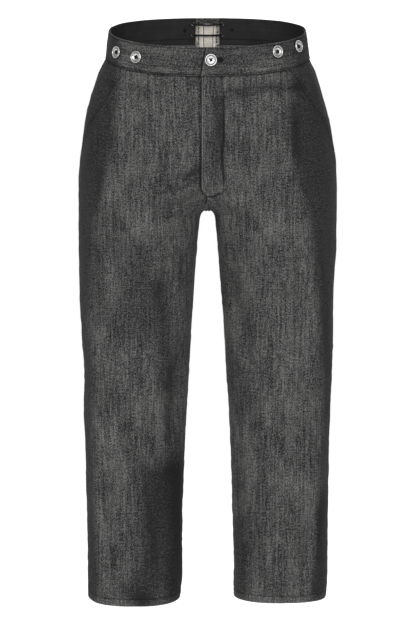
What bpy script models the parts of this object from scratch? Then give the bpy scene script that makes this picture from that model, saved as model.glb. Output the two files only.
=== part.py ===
"""High-waisted work trousers, worn and empty, with a button fly and a laced gap at the back.

Metres, +Z up, front at -Y, the wearer's left at +X. The origin is the middle of the waist,
inside the band at half its height. A place on the cloth is a level (its height at the side),
a face (front or back), and an arc: the way along the cloth from the side seam.
"""

import math

import bmesh
import bpy
import numpy as np
from mathutils import Matrix, Vector

# Heights at the side seam
BAND_TOP = 0.0235
BAND_SEAM = -0.0236
CROTCH = -0.2816
HEM = -0.9570
HEM_TURN = 0.014

# Cloth
WALL = 0.0012
BAND_OUT = 0.0006
BAND_IN = 0.0010
FACING_OUT = 0.0013
FACING_IN = 0.0021
FACING_SET_DOWN = 0.0008
FACING_SET_UP = 0.0015
HEM_WALL = 0.0026
GAP = 0.0003
HALF_GAP = GAP / 2

# Sections, each a row: level, half width, half gap between the legs, depth to the front,
# depth to the back, squareness (2 is an ellipse)
SECTION_COLUMNS = ("level", "half_width", "half_gap", "front", "back", "square")
SECTION_ROWS = (
    (0.0235, 0.1660, 0.0125, 0.115, 0.115, 2.20),
    (0.0000, 0.1702, 0.0125, 0.116, 0.117, 2.20),
    (-0.0236, 0.1730, 0.0125, 0.118, 0.119, 2.20),
    (-0.0472, 0.1833, 0.0125, 0.121, 0.124, 2.22),
    (-0.0811, 0.1945, 0.0125, 0.124, 0.131, 2.25),
    (-0.1217, 0.2059, 0.0125, 0.127, 0.139, 2.28),
    (-0.1625, 0.2130, 0.0125, 0.128, 0.145, 2.28),
    (-0.2034, 0.2184, 0.0125, 0.128, 0.147, 2.25),
    (-0.2444, 0.2212, 0.0125, 0.125, 0.143, 2.20),
    (-0.2816, 0.2215, 0.0125, 0.119, 0.134, 2.15),
    (-0.3270, 0.2209, 0.0162, 0.110, 0.123, 2.10),
    (-0.4095, 0.2181, 0.0223, 0.098, 0.110, 2.10),
    (-0.4927, 0.2161, 0.0284, 0.089, 0.100, 2.10),
    (-0.5764, 0.2124, 0.0337, 0.081, 0.092, 2.10),
    (-0.6605, 0.2112, 0.0386, 0.073, 0.086, 2.10),
    (-0.7451, 0.2100, 0.0417, 0.066, 0.081, 2.10),
    (-0.8301, 0.2089, 0.0440, 0.060, 0.077, 2.25),
    (-0.9585, 0.2083, 0.0458, 0.053, 0.073, 2.45),
)
SECTIONS = dict(zip(SECTION_COLUMNS, np.array(SECTION_ROWS[::-1]).T))
RING_POINTS = 120

# The seam between the legs: how round it is across, how high its curve reaches, how fast.
# The middle of each half follows it later by RISE_LAG. The arch under the seam opens within
# GAP_ROUNDING, and the legs part over GAP_SPREAD.
SEAM_ROUND = 0.010
SEAM_RISE = 0.220
SEAM_POWER = 1.4
RISE_LAG = 0.15
GAP_ROUNDING = 0.0055
GAP_SPREAD = 0.070

# The waist dips at the front and rises at the back, fading out above the knee
TILT_SLOPE = 0.204
TILT_BOW = -0.265
TILT_FULL = -0.020
TILT_END = -0.350
HEM_DROP = {-1: 0.0070, 1: 0.0012}
HEM_DROP_START = -0.800

# Soft folds, each a row: face, x and z at both ends, half width, height (a trough is negative)
FOLD_COLUMNS = ("face", "x0", "z0", "x1", "z1", "spread", "rise")
FOLD_ROWS = (
    ("front", 0.010, -0.206, -0.105, -0.245, 0.012, -0.0060),
    ("front", -0.002, -0.226, -0.110, -0.262, 0.011, 0.0045),
    ("front", -0.002, -0.246, -0.085, -0.281, 0.010, -0.0060),
    ("front", 0.066, -0.105, 0.020, -0.165, 0.012, -0.0035),
    ("front", 0.004, -0.215, 0.090, -0.262, 0.014, -0.0035),
    ("front", -0.150, -0.082, -0.085, -0.070, 0.009, -0.0025),
    ("front", -0.130, -0.240, -0.134, -0.420, 0.018, 0.0055),
    ("front", -0.143, -0.410, -0.166, -0.680, 0.017, 0.0055),
    ("front", -0.071, -0.360, -0.073, -0.470, 0.018, -0.0065),
    ("front", -0.050, -0.500, -0.060, -0.690, 0.015, -0.0060),
    ("front", -0.126, -0.640, -0.092, -0.930, 0.016, 0.0070),
    ("front", -0.080, -0.680, -0.060, -0.945, 0.020, -0.0075),
    ("front", 0.040, -0.350, 0.070, -0.560, 0.016, -0.0060),
    ("front", 0.130, -0.330, 0.128, -0.520, 0.018, 0.0045),
    ("front", 0.160, -0.560, 0.090, -0.680, 0.014, -0.0045),
    ("front", 0.110, -0.700, 0.092, -0.900, 0.016, 0.0055),
    ("front", 0.186, -0.770, 0.158, -0.945, 0.012, -0.0060),
    ("back", -0.010, -0.245, -0.120, -0.285, 0.016, -0.0050),
    ("back", 0.010, -0.240, 0.125, -0.290, 0.016, -0.0045),
    ("back", -0.060, -0.300, -0.150, -0.330, 0.014, -0.0035),
    ("back", 0.070, -0.310, 0.150, -0.335, 0.014, -0.0040),
    ("back", -0.080, -0.555, -0.180, -0.590, 0.016, -0.0045),
    ("back", 0.070, -0.570, 0.170, -0.600, 0.016, -0.0045),
    ("back", -0.120, -0.360, -0.125, -0.540, 0.020, 0.0040),
    ("back", 0.125, -0.370, 0.118, -0.560, 0.020, 0.0040),
    ("back", -0.110, -0.640, -0.120, -0.900, 0.018, 0.0045),
    ("back", 0.130, -0.650, 0.105, -0.900, 0.018, 0.0045),
)
# Folds fade out towards the seams, as shares of the half depth, and below the band
FOLD_SEAM_FADE = (0.05, 0.55)
FOLD_BAND_FADE = (0.004, 0.040)

# Front opening: how far the wearer's left laps over the right, and the pieces under it
LAP_TOP = 0.0017
LAP_SEAM = 0.0103
LAP_FLY = 0.0090
BAND_UNDER = 0.0250
BAND_UNDER_FACED = 0.0100
BAND_FIRST = 0.0050
LAP_START_FADE = -0.2290
LAP_END = -0.2500
DIP = 0.0034
DIP_FROM = 0.012
DIP_MIDWAY = 0.023
DIP_TO = 0.035
DIP_FADE_START = -0.2520
DIP_FADE_END = -0.2700
FLY_WIDTH = 0.0280
FLY_FACING_OUT = 0.0015
FLY_FACING_IN = 0.0025
FLY_FACING_INSET = 0.0030
FLY_END_ROW = 8

# Side pocket: a curved mouth from the band down to the side seam
POCKET_TOP = 0.090
POCKET_END = -0.2000
POCKET_POWER = 1.8
POCKET_BEARER_OUT = 0.0017
POCKET_LEAST = 0.002
POCKET_SLOPE = 0.015
POCKET_END_ROW = 9

# Back gap, its gusset and the lace
BACK_GAP = 0.0205
GUSSET_END = -0.120
GUSSET_LEVELS = (0.002, -0.0236, -0.055, -0.085, -0.114)
GUSSET_COLUMN = 0.012
GUSSET_OUT = 0.0001
GUSSET_IN = 0.0011
BINDING_HEIGHT = 0.0105
BINDING_SET_DOWN = 0.0002
BINDING_OUT = 0.0004
BINDING_IN = 0.0018
EYELET_FROM_EDGE = 0.0052
BAND_END = 0.013
EYELET_LEVELS = (0.0135, -0.0055)
EYELET_HOLE = 0.0029
EYELET_BARREL = 0.0025
EYELET_BORE = 0.0020
EYELET_FLANGE = 0.0040
EYELET_LIP = 0.0005
EYELET_SEGMENTS = 12

# Lace, from an eyelet's own frame: heights of its points in and out of an eyelet, of its bars
# inside, of its outer runs and of the knot, and how far the bars sag
LACE_RADIUS = 0.0017
LACE_TO_KNOT = 0.0034
LACE_THROUGH = (0.0031, 0.0017, -0.0038, -0.0051)
LACE_BAR = -0.0078
LACE_RUN = 0.0050
LACE_RUN_START = 0.0030
LACE_KNOT_RUN = 0.0058
LACE_KNOT_START = 0.0026
KNOT_HEIGHT = 0.0068
LACE_SAGS = {"upper": 0.0016, "lower": 0.0010}
BAR_SPOTS = (0.15, 0.5, 0.85)
KNOT_SIZE = (0.0042, 0.0029, 0.0026)
LACE_END_ROUTE = (
    (0.0015, 0.0, 0.0),
    (0.0055, -0.004, 0.001),
    (0.0075, -0.014, 0.0008),
    (0.0070, -0.030, 0.0004),
)
LACE_END_RADIUS = 0.00153

# Buttons: name, side, face, x, level
BUTTON_COLUMNS = ("name", "side", "face", "x", "level")
BUTTON_ROWS = (
    ("button_waist", 1, "front", 0.0058, 0.0026),
    ("button_brace_front_right_inner", -1, "front", 0.1178, -0.0002),
    ("button_brace_front_right_outer", -1, "front", 0.1504, 0.0002),
    ("button_brace_front_left_inner", 1, "front", 0.1152, 0.0090),
    ("button_brace_front_left_outer", 1, "front", 0.1507, 0.0095),
    ("button_brace_back_right", -1, "back", 0.0400, 0.0020),
    ("button_brace_back_left", 1, "back", 0.0430, 0.0040),
)
BUTTON_PROFILE = (
    (0.0022, 0.0009),
    (0.0046, 0.0012),
    (0.0063, 0.0022),
    (0.0074, 0.0016),
    (0.0084, 0.0028),
    (0.0095, 0.0028),
    (0.0100, 0.0021),
    (0.0100, 0.0006),
    (0.0093, 0.0000),
    (0.0022, 0.0000),
)
BUTTON_SEGMENTS = 16
THREAD_SECTIONS = ((0.0000, 0.0018), (0.0012, 0.0018), (0.0015, 0.0029), (0.0023, 0.0027))
THREAD_HALF_WIDTH = 0.0007
BUTTONHOLE_END = 0.0238
BUTTONHOLE_EYE = 0.0026
BUTTONHOLE_WIDTH = 0.0024
CUTTER_DEPTH = 0.014

# Grid of one panel: rows above and below the crotch, columns from the side to the middle.
# A high power leaves the cloth's sudden growth at the crotch to the columns near the middle.
ROWS_ABOVE = 12
ROWS_BELOW = 19
PANEL_COLUMNS = 8
PANEL_WIDTH = 0.30
CALM_POWER = 4
BAND_COLUMNS = 12

collection = bpy.data.collections.new("trousers")
cutters = bpy.data.collections.new("cutters")


# Section curves

def along(column, level):
    """One column of the sections at any level, on a smooth curve that never overshoots."""
    known, value = SECTIONS["level"], SECTIONS[column]
    step = np.diff(known)
    rise = np.diff(value) / step
    slope = np.empty_like(value)
    slope[0], slope[-1] = rise[0], rise[-1]
    same_way = rise[1:] * rise[:-1] > 0
    total = np.where(same_way, rise[1:] + rise[:-1], 1.0)
    slope[1:-1] = np.where(same_way, 2 * rise[1:] * rise[:-1] / total, 0.0)
    i = np.clip(np.searchsorted(known, level) - 1, 0, len(known) - 2)
    t = (level - known[i]) / step[i]
    start = (1 + 2 * t) * (1 - t) ** 2 * value[i] + t * (1 - t) ** 2 * step[i] * slope[i]
    return start + t * t * (3 - 2 * t) * value[i + 1] + t * t * (t - 1) * step[i] * slope[i + 1]


def ease(value, start, end):
    """0 at start, 1 at end, and smooth between them."""
    t = np.clip((value - start) / (end - start), 0, 1)
    return t * t * (3 - 2 * t)


def mid_and_depth(level):
    """The y of the side seam, and the half depth of the section."""
    front, back = along("front", level), along("back", level)
    return (back - front) / 2, (back + front) / 2


def ring(level, face):
    """x, y and arc of one face's section at each level, from the side seam inwards."""
    level = np.asarray(level, float).reshape(-1, 1)
    outer = np.hypot(along("half_width", level), SEAM_ROUND)
    below = np.clip(CROTCH - level, 0, None)
    gap = along("half_gap", level) * np.sqrt(1 - np.exp(-below / GAP_ROUNDING))
    parted = ease(below, 0, GAP_SPREAD)
    height = np.clip((level - CROTCH) / SEAM_RISE, 0, 1)
    late = height**2 * (1 + RISE_LAG) / (height + RISE_LAG)
    apart = np.hypot(gap * parted, SEAM_ROUND)
    inner, settled = (
        np.where(below > 0, apart, SEAM_ROUND - (outer + SEAM_ROUND) * (1 - (1 - t) ** SEAM_POWER))
        for t in (height, late)
    )
    centre = (outer + settled) / 2
    middle, depth = mid_and_depth(level)
    square = along("square", level)
    stop = np.maximum(inner, SEAM_ROUND) - centre
    stop = np.clip(stop / np.where(stop > 0, outer - centre, centre - inner), -1, 1)
    last = np.arccos(np.sign(stop) * np.abs(stop) ** (square / 2))
    t = np.linspace(0, 1, RING_POINTS)
    turn = last * t * (2 - t)
    reach = np.where(np.cos(turn) > 0, outer - centre, centre - inner)
    across = centre + reach * np.sign(np.cos(turn)) * np.abs(np.cos(turn)) ** (2 / square)
    x = np.sqrt(np.clip(across**2 - SEAM_ROUND**2, 0, None))
    x = (x**4 + gap**4 * (1 - parted**4)) ** 0.25
    way = -1 if face == "front" else 1
    y = middle + way * depth * np.abs(np.sin(turn)) ** (2 / square)
    arc = np.zeros_like(x)
    arc[:, 1:] = np.cumsum(np.hypot(np.diff(x, axis=1), np.diff(y, axis=1)), axis=1)
    return x, y, arc


def length(level, face):
    """Arc from the side seam to the middle of the body, or to the inseam below the crotch."""
    return ring(level, face)[2][:, -1]


def calm_length(level, face):
    """A length that passes the crotch without the sudden growth of the real one."""
    known = np.linspace(HEM, BAND_SEAM, 200)
    return np.polynomial.Polynomial.fit(known, length(known, face), 4)(level)


def trace(level, arc, face):
    """x, y and the outward direction in plan. Past the middle, the other half carries on."""
    x, y, arcs = ring(level, face)
    total = arcs[:, -1]
    past = (arc > total) & (level >= CROTCH)
    wanted = np.clip(np.where(past, 2 * total - arc, arc), 0, total)
    i = np.clip((arcs < wanted[:, None]).sum(axis=1) - 1, 0, RING_POINTS - 2)
    n = np.arange(len(i))
    t = (wanted - arcs[n, i]) / (arcs[n, i + 1] - arcs[n, i])
    tangent_x, tangent_y = np.gradient(x, axis=1), np.gradient(y, axis=1)

    def between(values):
        return values[n, i] * (1 - t) + values[n, i + 1] * t

    turn = -1 if face == "front" else 1
    out = np.stack([turn * between(tangent_y), -turn * between(tangent_x)], axis=1)
    out /= np.linalg.norm(out, axis=1)[:, None]
    flip = np.where(past, -1, 1)
    return between(x) * flip, between(y), out * np.stack([flip, np.ones_like(flip)], axis=1)


# The folded cloth surface

def folds(side, face, level, x, z, y):
    """How far the soft folds push the cloth out. They die away at the side seams and inseams."""
    middle, depth = mid_and_depth(level)
    reach = np.abs(y - middle) / depth
    total = np.zeros_like(x)
    for row in FOLD_ROWS:
        fold = dict(zip(FOLD_COLUMNS, row))
        if fold["face"] != face:
            continue
        start = np.array([fold["x0"], fold["z0"]])
        way = np.array([fold["x1"], fold["z1"]]) - start
        size = np.hypot(*way)
        way /= size
        gone = (x * side - start[0]) * way[0] + (z - start[1]) * way[1]
        off = (x * side - start[0]) * way[1] - (z - start[1]) * way[0]
        ends = np.clip(1 - (2 * gone / size - 1) ** 2, 0, None)
        total += fold["rise"] * ends * np.exp(-((off / fold["spread"]) ** 2))
    return total * ease(reach, *FOLD_SEAM_FADE) * ease(BAND_SEAM - level, *FOLD_BAND_FADE)


def cloth(side, face, level, arc):
    """Points of the folded outer surface, on the wearer's left for side 1."""
    x, y, out = trace(level, arc, face)
    middle, depth = mid_and_depth(level)
    tilt = ease(level, TILT_END, TILT_FULL) * (TILT_SLOPE * y + TILT_BOW * y * y)
    drop = HEM_DROP[side] * ease(level, HEM_DROP_START, HEM) * (middle - y) / depth
    z = level + tilt - drop
    push = folds(side, face, level, x, z, y)
    return np.stack([side * (x + push * out[:, 0]), y + push * out[:, 1], z], axis=1)


def place(side, face, level, arc, depth=0.0):
    """Points at a depth inside the outer surface, measured square to the cloth."""
    level, arc, depth = (a.astype(float) for a in np.broadcast_arrays(level, arc, depth))
    shape = level.shape
    level, arc, depth = level.ravel(), arc.ravel(), depth.ravel()
    step = 0.001
    total = length(level, face)
    high = np.where(level < CROTCH, np.minimum(arc + step, total), arc + step)
    low = np.maximum(arc - step, 0)
    along_arc = cloth(side, face, level, high) - cloth(side, face, level, low)
    along_level = cloth(side, face, level + step, arc) - cloth(side, face, level - step, arc)
    normal = np.cross(along_arc, along_level)
    normal /= np.linalg.norm(normal, axis=1)[:, None]
    normal *= side * (-1 if face == "front" else 1)
    points = cloth(side, face, level, arc) + normal * -depth[:, None]
    return points.reshape(shape + (3,))


def frame_at(side, face, x, level, depth):
    """A point of the cloth at x, with its outward direction."""
    xs, _, arcs = ring(level, face)
    arc = np.interp(-x, -xs[0], arcs[0])
    here = place(side, face, level, arc, depth)
    inside = place(side, face, level, arc, depth + 0.001)
    return Vector(here), Vector(here - inside).normalized()


# Making solids

def material(name, color, roughness, metallic=0.0):
    made = bpy.data.materials.new(name)
    made.use_nodes = True
    shader = made.node_tree.nodes["Principled BSDF"]
    shader.inputs["Base Color"].default_value = (*color, 1)
    shader.inputs["Roughness"].default_value = roughness
    shader.inputs["Metallic"].default_value = metallic
    return made


def add(name, mesh, finish):
    thing = bpy.data.objects.new(name, mesh)
    color, roughness, metallic = finish
    mesh.materials.append(material(name, color, roughness, metallic))
    collection.objects.link(thing)
    return thing


DENIM = ((0.052, 0.051, 0.052), 0.85, 0.0)
DENIM_WRONG_SIDE = ((0.55, 0.52, 0.47), 0.90, 0.0)
FACING_CLOTH = ((0.016, 0.016, 0.017), 0.80, 0.0)
BINDING_CLOTH = ((0.030, 0.029, 0.028), 0.90, 0.0)
METAL = ((0.72, 0.73, 0.72), 0.30, 1.0)
THREAD = ((0.010, 0.010, 0.011), 0.70, 0.0)


def shell(name, outer, inner, finish):
    """A closed wall lofted between two grids of points, rows by columns."""
    rows, columns = outer.shape[:2]
    built = bmesh.new()
    sheets = []
    for grid in (outer, inner):
        sheets.append([[built.verts.new(grid[i, j]) for j in range(columns)] for i in range(rows)])
    for sheet in sheets:
        for i in range(rows - 1):
            for j in range(columns - 1):
                built.faces.new((sheet[i][j], sheet[i][j + 1], sheet[i + 1][j + 1], sheet[i + 1][j]))
    rim = [(0, j) for j in range(columns)]
    rim += [(i, columns - 1) for i in range(1, rows)]
    rim += [(rows - 1, j) for j in range(columns - 2, -1, -1)]
    rim += [(i, 0) for i in range(rows - 2, 0, -1)]
    for (a, b), (c, d) in zip(rim, rim[1:] + rim[:1]):
        built.faces.new((sheets[0][a][b], sheets[0][c][d], sheets[1][c][d], sheets[1][a][b]))
    bmesh.ops.recalc_face_normals(built, faces=built.faces)
    mesh = bpy.data.meshes.new(name)
    built.to_mesh(mesh)
    built.free()
    mesh.shade_smooth()
    mesh.set_sharp_from_angle(angle=math.radians(50))
    return add(name, mesh, finish)


def cut(piece, cutter):
    """A Boolean that takes the cutter's shape out of a piece."""
    modifier = piece.modifiers.new("cut_" + cutter.name, "BOOLEAN")
    modifier.operation = "DIFFERENCE"
    modifier.object = cutter


def cutter_object(name, mesh):
    thing = bpy.data.objects.new(name, mesh)
    thing.hide_render = True
    thing.display_type = "WIRE"
    cutters.objects.link(thing)
    return thing


def facing_out(point, outward):
    """A frame at a point of the cloth whose Z looks outwards and whose Y looks up."""
    side = Vector((0, 0, 1)).cross(outward).normalized()
    turned = Matrix((side, outward.cross(side), outward)).transposed().to_4x4()
    turned.translation = point
    return turned


# Grids of the panels

def row_levels():
    """Levels of the rows at the side and at the middle, which crowd together at the crotch."""
    t = np.linspace(0, 1, ROWS_ABOVE + 1)
    start = BAND_SEAM - GAP
    side = start + (CROTCH - start) * t
    middle = CROTCH + (start - CROTCH) * (1 - t) ** 2
    t = np.linspace(0, 1, ROWS_BELOW + 1)[1:]
    hem_start = HEM + HEM_TURN
    side_below = CROTCH + (hem_start - CROTCH) * t
    middle_below = CROTCH + (hem_start - CROTCH) * t**1.5
    last = np.array([hem_start - GAP, HEM])
    side = np.concatenate([side, side_below, last])
    middle = np.concatenate([middle, middle_below, last])
    return side, middle


def lap(level, full):
    """A lap at the fly, which narrows to the middle seam at the fly's end."""
    return full * ease(level, LAP_END, LAP_START_FADE)


def pocket_arc(level):
    """How far the pocket's mouth stands in front of the side seam."""
    t = np.clip((BAND_SEAM - level) / (BAND_SEAM - POCKET_END), 0, 1)
    return np.maximum(POCKET_TOP * (1 - t**POCKET_POWER), HALF_GAP)


def gusset_half(level):
    """Half the width of the gusset, a wedge below the band."""
    return BACK_GAP * np.clip((level - GUSSET_END) / (BAND_SEAM - GUSSET_END), 0, 1)


def panel_grid(face, near, edge, start):
    """Levels and arcs of a panel. near: distances of the columns next to the middle.

    edge gives the middle edge and start the outer edge, each as a function of the level.
    """
    side_level, middle_level = row_levels()
    fraction = np.linspace(0, 1, PANEL_COLUMNS + 1)[:-1]
    from_middle = np.concatenate([(PANEL_WIDTH - near[0]) * (1 - fraction) + near[0], near])
    weight = (1 - from_middle / PANEL_WIDTH) ** 3
    weight[-1] = 1
    level = side_level[:, None] + (middle_level - side_level)[:, None] * weight[None, :]
    total = length(level.ravel(), face).reshape(level.shape)
    first = start(level)
    arc = np.empty_like(level)
    count = len(fraction)
    calm = calm_length(level, face)
    evenly = (calm - near[0] - first)[:, :count] * fraction
    late = (total - calm)[:, :count] * fraction**CALM_POWER
    arc[:, :count] = first[:, :count] + evenly + late
    arc[:, count:] = total[:, count:] - np.array(near)
    arc[:, -1] = total[:, -1] + edge(level[:, -1])
    return level, arc


def dip(level, from_middle):
    """How far the wearer's right sinks to pass under the left at the fly.

    from_middle is the distance from the middle, negative past it.
    """
    near = 1 - ease(from_middle, DIP_FROM, DIP_TO)
    return DIP * near * ease(level, DIP_FADE_END, DIP_FADE_START)


def inner_depth(level):
    """The wall's depth, doubled in the turned hem."""
    return np.where(level <= HEM + HEM_TURN - GAP * 0.9, HEM_WALL, WALL)


def seam_edge(level):
    return np.full_like(level, -HALF_GAP)


def side_edge(level):
    return np.full_like(level, HALF_GAP)


def left_fly_edge(level):
    return lap(level, LAP_FLY + HALF_GAP) - HALF_GAP


def back_edge(level):
    return -np.maximum(gusset_half(level) + GAP, HALF_GAP)


LEFT_NEAR = (FLY_WIDTH, FLY_WIDTH / 2, 0.0, -LAP_FLY)
RIGHT_NEAR = (DIP_TO, DIP_MIDWAY, DIP_FROM, HALF_GAP)
BACK_NEAR = (0.045, 0.032, HALF_GAP)


def front_panel(side):
    near, edge = (LEFT_NEAR, left_fly_edge) if side > 0 else (RIGHT_NEAR, seam_edge)
    level, arc = panel_grid("front", near, edge, pocket_arc)
    sunk = 0.0
    if side < 0:
        total = length(level.ravel(), "front").reshape(level.shape)
        sunk = dip(level, total - arc)
    outer = place(side, "front", level, arc, sunk)
    inner = place(side, "front", level, arc, sunk + inner_depth(level))
    shell("front_left" if side > 0 else "front_right", outer, inner, DENIM)
    return level, arc


def back_panel(side):
    level, arc = panel_grid("back", BACK_NEAR, back_edge, side_edge)
    total = length(level.ravel(), "back").reshape(level.shape)
    beside_gusset = total + back_edge(level) - GUSSET_COLUMN
    arc[:, -2] = np.minimum(arc[:, -2], beside_gusset[:, -2])
    outer = place(side, "back", level, arc)
    inner = place(side, "back", level, arc, inner_depth(level))
    shell("back_left" if side > 0 else "back_right", outer, inner, DENIM)


def band_columns(side, level):
    """Faces and arcs of the band's columns at one level, from the front end to the back gap."""
    front_total, back_total = length(level, "front")[0], length(level, "back")[0]
    height = (level - BAND_SEAM) / (BAND_TOP - BAND_SEAM)
    lap_here = LAP_SEAM + (LAP_TOP - LAP_SEAM) * max(height, 0)
    if side > 0:
        near = [-lap_here, BAND_FIRST, FLY_WIDTH / 2, FLY_WIDTH + FACING_SET_UP]
    else:
        near = [-BAND_UNDER, -BAND_UNDER_FACED, DIP_FROM, DIP_MIDWAY, DIP_TO]
    rest = np.linspace(near[-1], front_total, BAND_COLUMNS + 1)[1:]
    front = front_total - np.concatenate([near, rest])
    back = np.linspace(0, back_total - BACK_GAP - BAND_END, BAND_COLUMNS)[1:]
    back = np.concatenate([back, [back_total - BACK_GAP - GAP]])
    return front, back


def band_points(side, levels, depth, keep=None):
    """A grid of points that follows the band at a depth. keep drops columns at either end."""
    rows = []
    for level in levels:
        front, back = band_columns(side, level)
        total = length(level, "front")[0]
        sunk = dip(np.full_like(front, level), total - front) if side < 0 else 0.0
        points = np.concatenate([
            place(side, "front", np.full_like(front, level), front, depth + sunk),
            place(side, "back", np.full_like(back, level), back, depth),
        ])
        rows.append(points if keep is None else points[keep])
    return np.array(rows)


def waistband(side):
    levels = np.linspace(BAND_TOP, BAND_SEAM, 4)
    outer = band_points(side, levels, -BAND_OUT)
    inner = band_points(side, levels, BAND_IN)
    return shell("waistband_left" if side > 0 else "waistband_right", outer, inner, DENIM)


def waistband_facing(side):
    levels = np.linspace(BAND_TOP - FACING_SET_DOWN, BAND_SEAM + FACING_SET_UP, 4)
    keep = slice(3 if side > 0 else 1, None)
    outer = band_points(side, levels, FACING_OUT, keep)
    inner = band_points(side, levels, FACING_IN, keep)
    name = "waistband_facing_left" if side > 0 else "waistband_facing_right"
    return shell(name, outer, inner, FACING_CLOTH)


def fly_facing(level, arc):
    """The strip inside the wearer's left front that carries the buttonholes."""
    rows = slice(0, FLY_END_ROW)
    part_level = level[rows, -4:]
    part_arc = arc[rows, -4:].copy()
    part_arc[:, -1] -= FLY_FACING_INSET
    part_level = np.minimum(part_level, BAND_SEAM - 2 * GAP)
    outer = place(1, "front", part_level, part_arc, FLY_FACING_OUT)
    inner = place(1, "front", part_level, part_arc, FLY_FACING_IN)
    shell("fly_facing", outer, inner, DENIM)


def fly_shield(level, arc):
    """The strip that carries the fly's buttons, sewn to the edge of the wearer's right front."""
    part_level = np.minimum(level[:FLY_END_ROW, -4:-1], BAND_SEAM - 2 * GAP)
    part_arc = arc[:FLY_END_ROW, -4:-1] + np.array([0, 0, -GAP])
    outer = place(1, "front", part_level, part_arc, DIP)
    inner = place(1, "front", part_level, part_arc, DIP + WALL)
    shell("fly_shield", outer, inner, DENIM)


def pocket_bearer(side, level, arc):
    """The cloth seen in the pocket's mouth. It slopes in from the side seam and under the front."""
    rows = slice(0, POCKET_END_ROW + 1)
    mouth_level, mouth = level[rows, :1], arc[rows, :1]
    shown = np.maximum(mouth - HALF_GAP, POCKET_LEAST)
    arcs = np.concatenate([HALF_GAP + shown * part for part in (0, 0.5, 1)] + [arc[rows, 1:2]], axis=1)
    levels = np.concatenate([mouth_level] * 3 + [level[rows, 1:2]], axis=1)
    inside = ease(arcs - mouth, -POCKET_SLOPE, 0)
    outer = place(side, "front", levels, arcs, POCKET_BEARER_OUT * inside)
    inner = place(side, "front", levels, arcs, POCKET_BEARER_OUT * inside + WALL)
    shell("pocket_bearer_left" if side > 0 else "pocket_bearer_right", outer, inner, DENIM)


def gusset():
    """The wedge between the back panels, with its bound top edge."""
    levels = [BAND_TOP - BINDING_HEIGHT - GAP, *GUSSET_LEVELS]
    across = np.linspace(-1, 1, 5)

    def grid(rows, depth):
        points = []
        for level in rows:
            half = gusset_half(level) if level < BAND_SEAM else BACK_GAP
            total = length(level, "back")[0]
            arc = total + across * half
            points.append(place(1, "back", np.full_like(arc, level), arc, depth))
        return np.array(points)

    shell("back_gusset", grid(levels, GUSSET_OUT), grid(levels, GUSSET_IN), DENIM_WRONG_SIDE)
    top = [BAND_TOP - BINDING_SET_DOWN, BAND_TOP - BINDING_HEIGHT]
    shell("gusset_binding", grid(top, -BINDING_OUT), grid(top, BINDING_IN), BINDING_CLOTH)


# Hardware

def turned(name, profile, segments, finish):
    """A ring turned about Z from a closed profile of (radius, height)."""
    mesh = bpy.data.meshes.new(name)
    count = len(profile)
    mesh.from_pydata([(r, 0, h) for r, h in profile], [(i, (i + 1) % count) for i in range(count)], [])
    thing = add(name, mesh, finish)
    screw = thing.modifiers.new("turn", "SCREW")
    screw.steps = screw.render_steps = segments
    screw.use_merge_vertices = True
    screw.merge_threshold = 0.00001
    screw.use_smooth_shade = True
    return thing


def thread(name, below):
    """The thread that holds a button: a post of crossed section with a wider cross on top."""
    w = THREAD_HALF_WIDTH
    sections = THREAD_SECTIONS
    if below > 0:
        sections = ((-below, sections[0][1]),) + sections
    built = bmesh.new()
    loops = []
    for height, arm in sections:
        quarter = [(arm, -w), (arm, w), (w, w)]
        loop = []
        for turn in range(4):
            c, s = round(math.cos(turn * math.pi / 2)), round(math.sin(turn * math.pi / 2))
            loop += [built.verts.new((c * x - s * y, s * x + c * y, height)) for x, y in quarter]
        loops.append(loop)
    for lower, upper in zip(loops, loops[1:]):
        for i in range(len(lower)):
            j = (i + 1) % len(lower)
            built.faces.new((lower[i], lower[j], upper[j], upper[i]))
    built.faces.new(loops[0])
    built.faces.new(loops[-1])
    bmesh.ops.recalc_face_normals(built, faces=built.faces)
    mesh = bpy.data.meshes.new(name)
    built.to_mesh(mesh)
    built.free()
    return add(name, mesh, THREAD)


def buttons():
    """Buttons a hair above the cloth, each with its thread. Returns the waist button's frame."""
    frames = {}
    for row in BUTTON_ROWS:
        button = dict(zip(BUTTON_COLUMNS, row))
        point, outward = frame_at(
            button["side"], button["face"], button["x"], button["level"], -BAND_OUT - GAP
        )
        where = facing_out(point, outward)
        disc = turned(button["name"], BUTTON_PROFILE, BUTTON_SEGMENTS, METAL)
        under = DIP - GAP if button["name"] == "button_waist" else 0
        post = thread("thread_" + button["name"].removeprefix("button_"), under)
        post.matrix_world = where @ Matrix.Rotation(math.pi / 4, 4, "Z")
        disc.matrix_world = where
        frames[button["name"]] = where
    return frames["button_waist"]


def drill(name, radius, segments, where):
    """A round cutter through the cloth."""
    built = bmesh.new()
    bmesh.ops.create_cone(
        built, cap_ends=True, segments=segments, radius1=radius, radius2=radius, depth=CUTTER_DEPTH
    )
    mesh = bpy.data.meshes.new(name)
    built.to_mesh(mesh)
    built.free()
    bit = cutter_object(name, mesh)
    bit.matrix_world = where
    return bit


def buttonhole(band, where):
    """A keyhole cut from the waist button's post towards the wearer's left."""
    eye = drill("buttonhole_round", BUTTONHOLE_EYE, BUTTON_SEGMENTS, where)
    reach = BUTTONHOLE_END - BUTTON_ROWS[0][3]
    built = bmesh.new()
    bmesh.ops.create_cube(built, size=1)
    bmesh.ops.scale(built, vec=(reach, BUTTONHOLE_WIDTH, CUTTER_DEPTH), verts=built.verts)
    bmesh.ops.translate(built, vec=(reach / 2, 0, 0), verts=built.verts)
    slot_mesh = bpy.data.meshes.new("buttonhole_slot")
    built.to_mesh(slot_mesh)
    built.free()
    slot = cutter_object("buttonhole_slot", slot_mesh)
    slot.matrix_world = where
    cut(band, eye)
    cut(band, slot)


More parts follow.
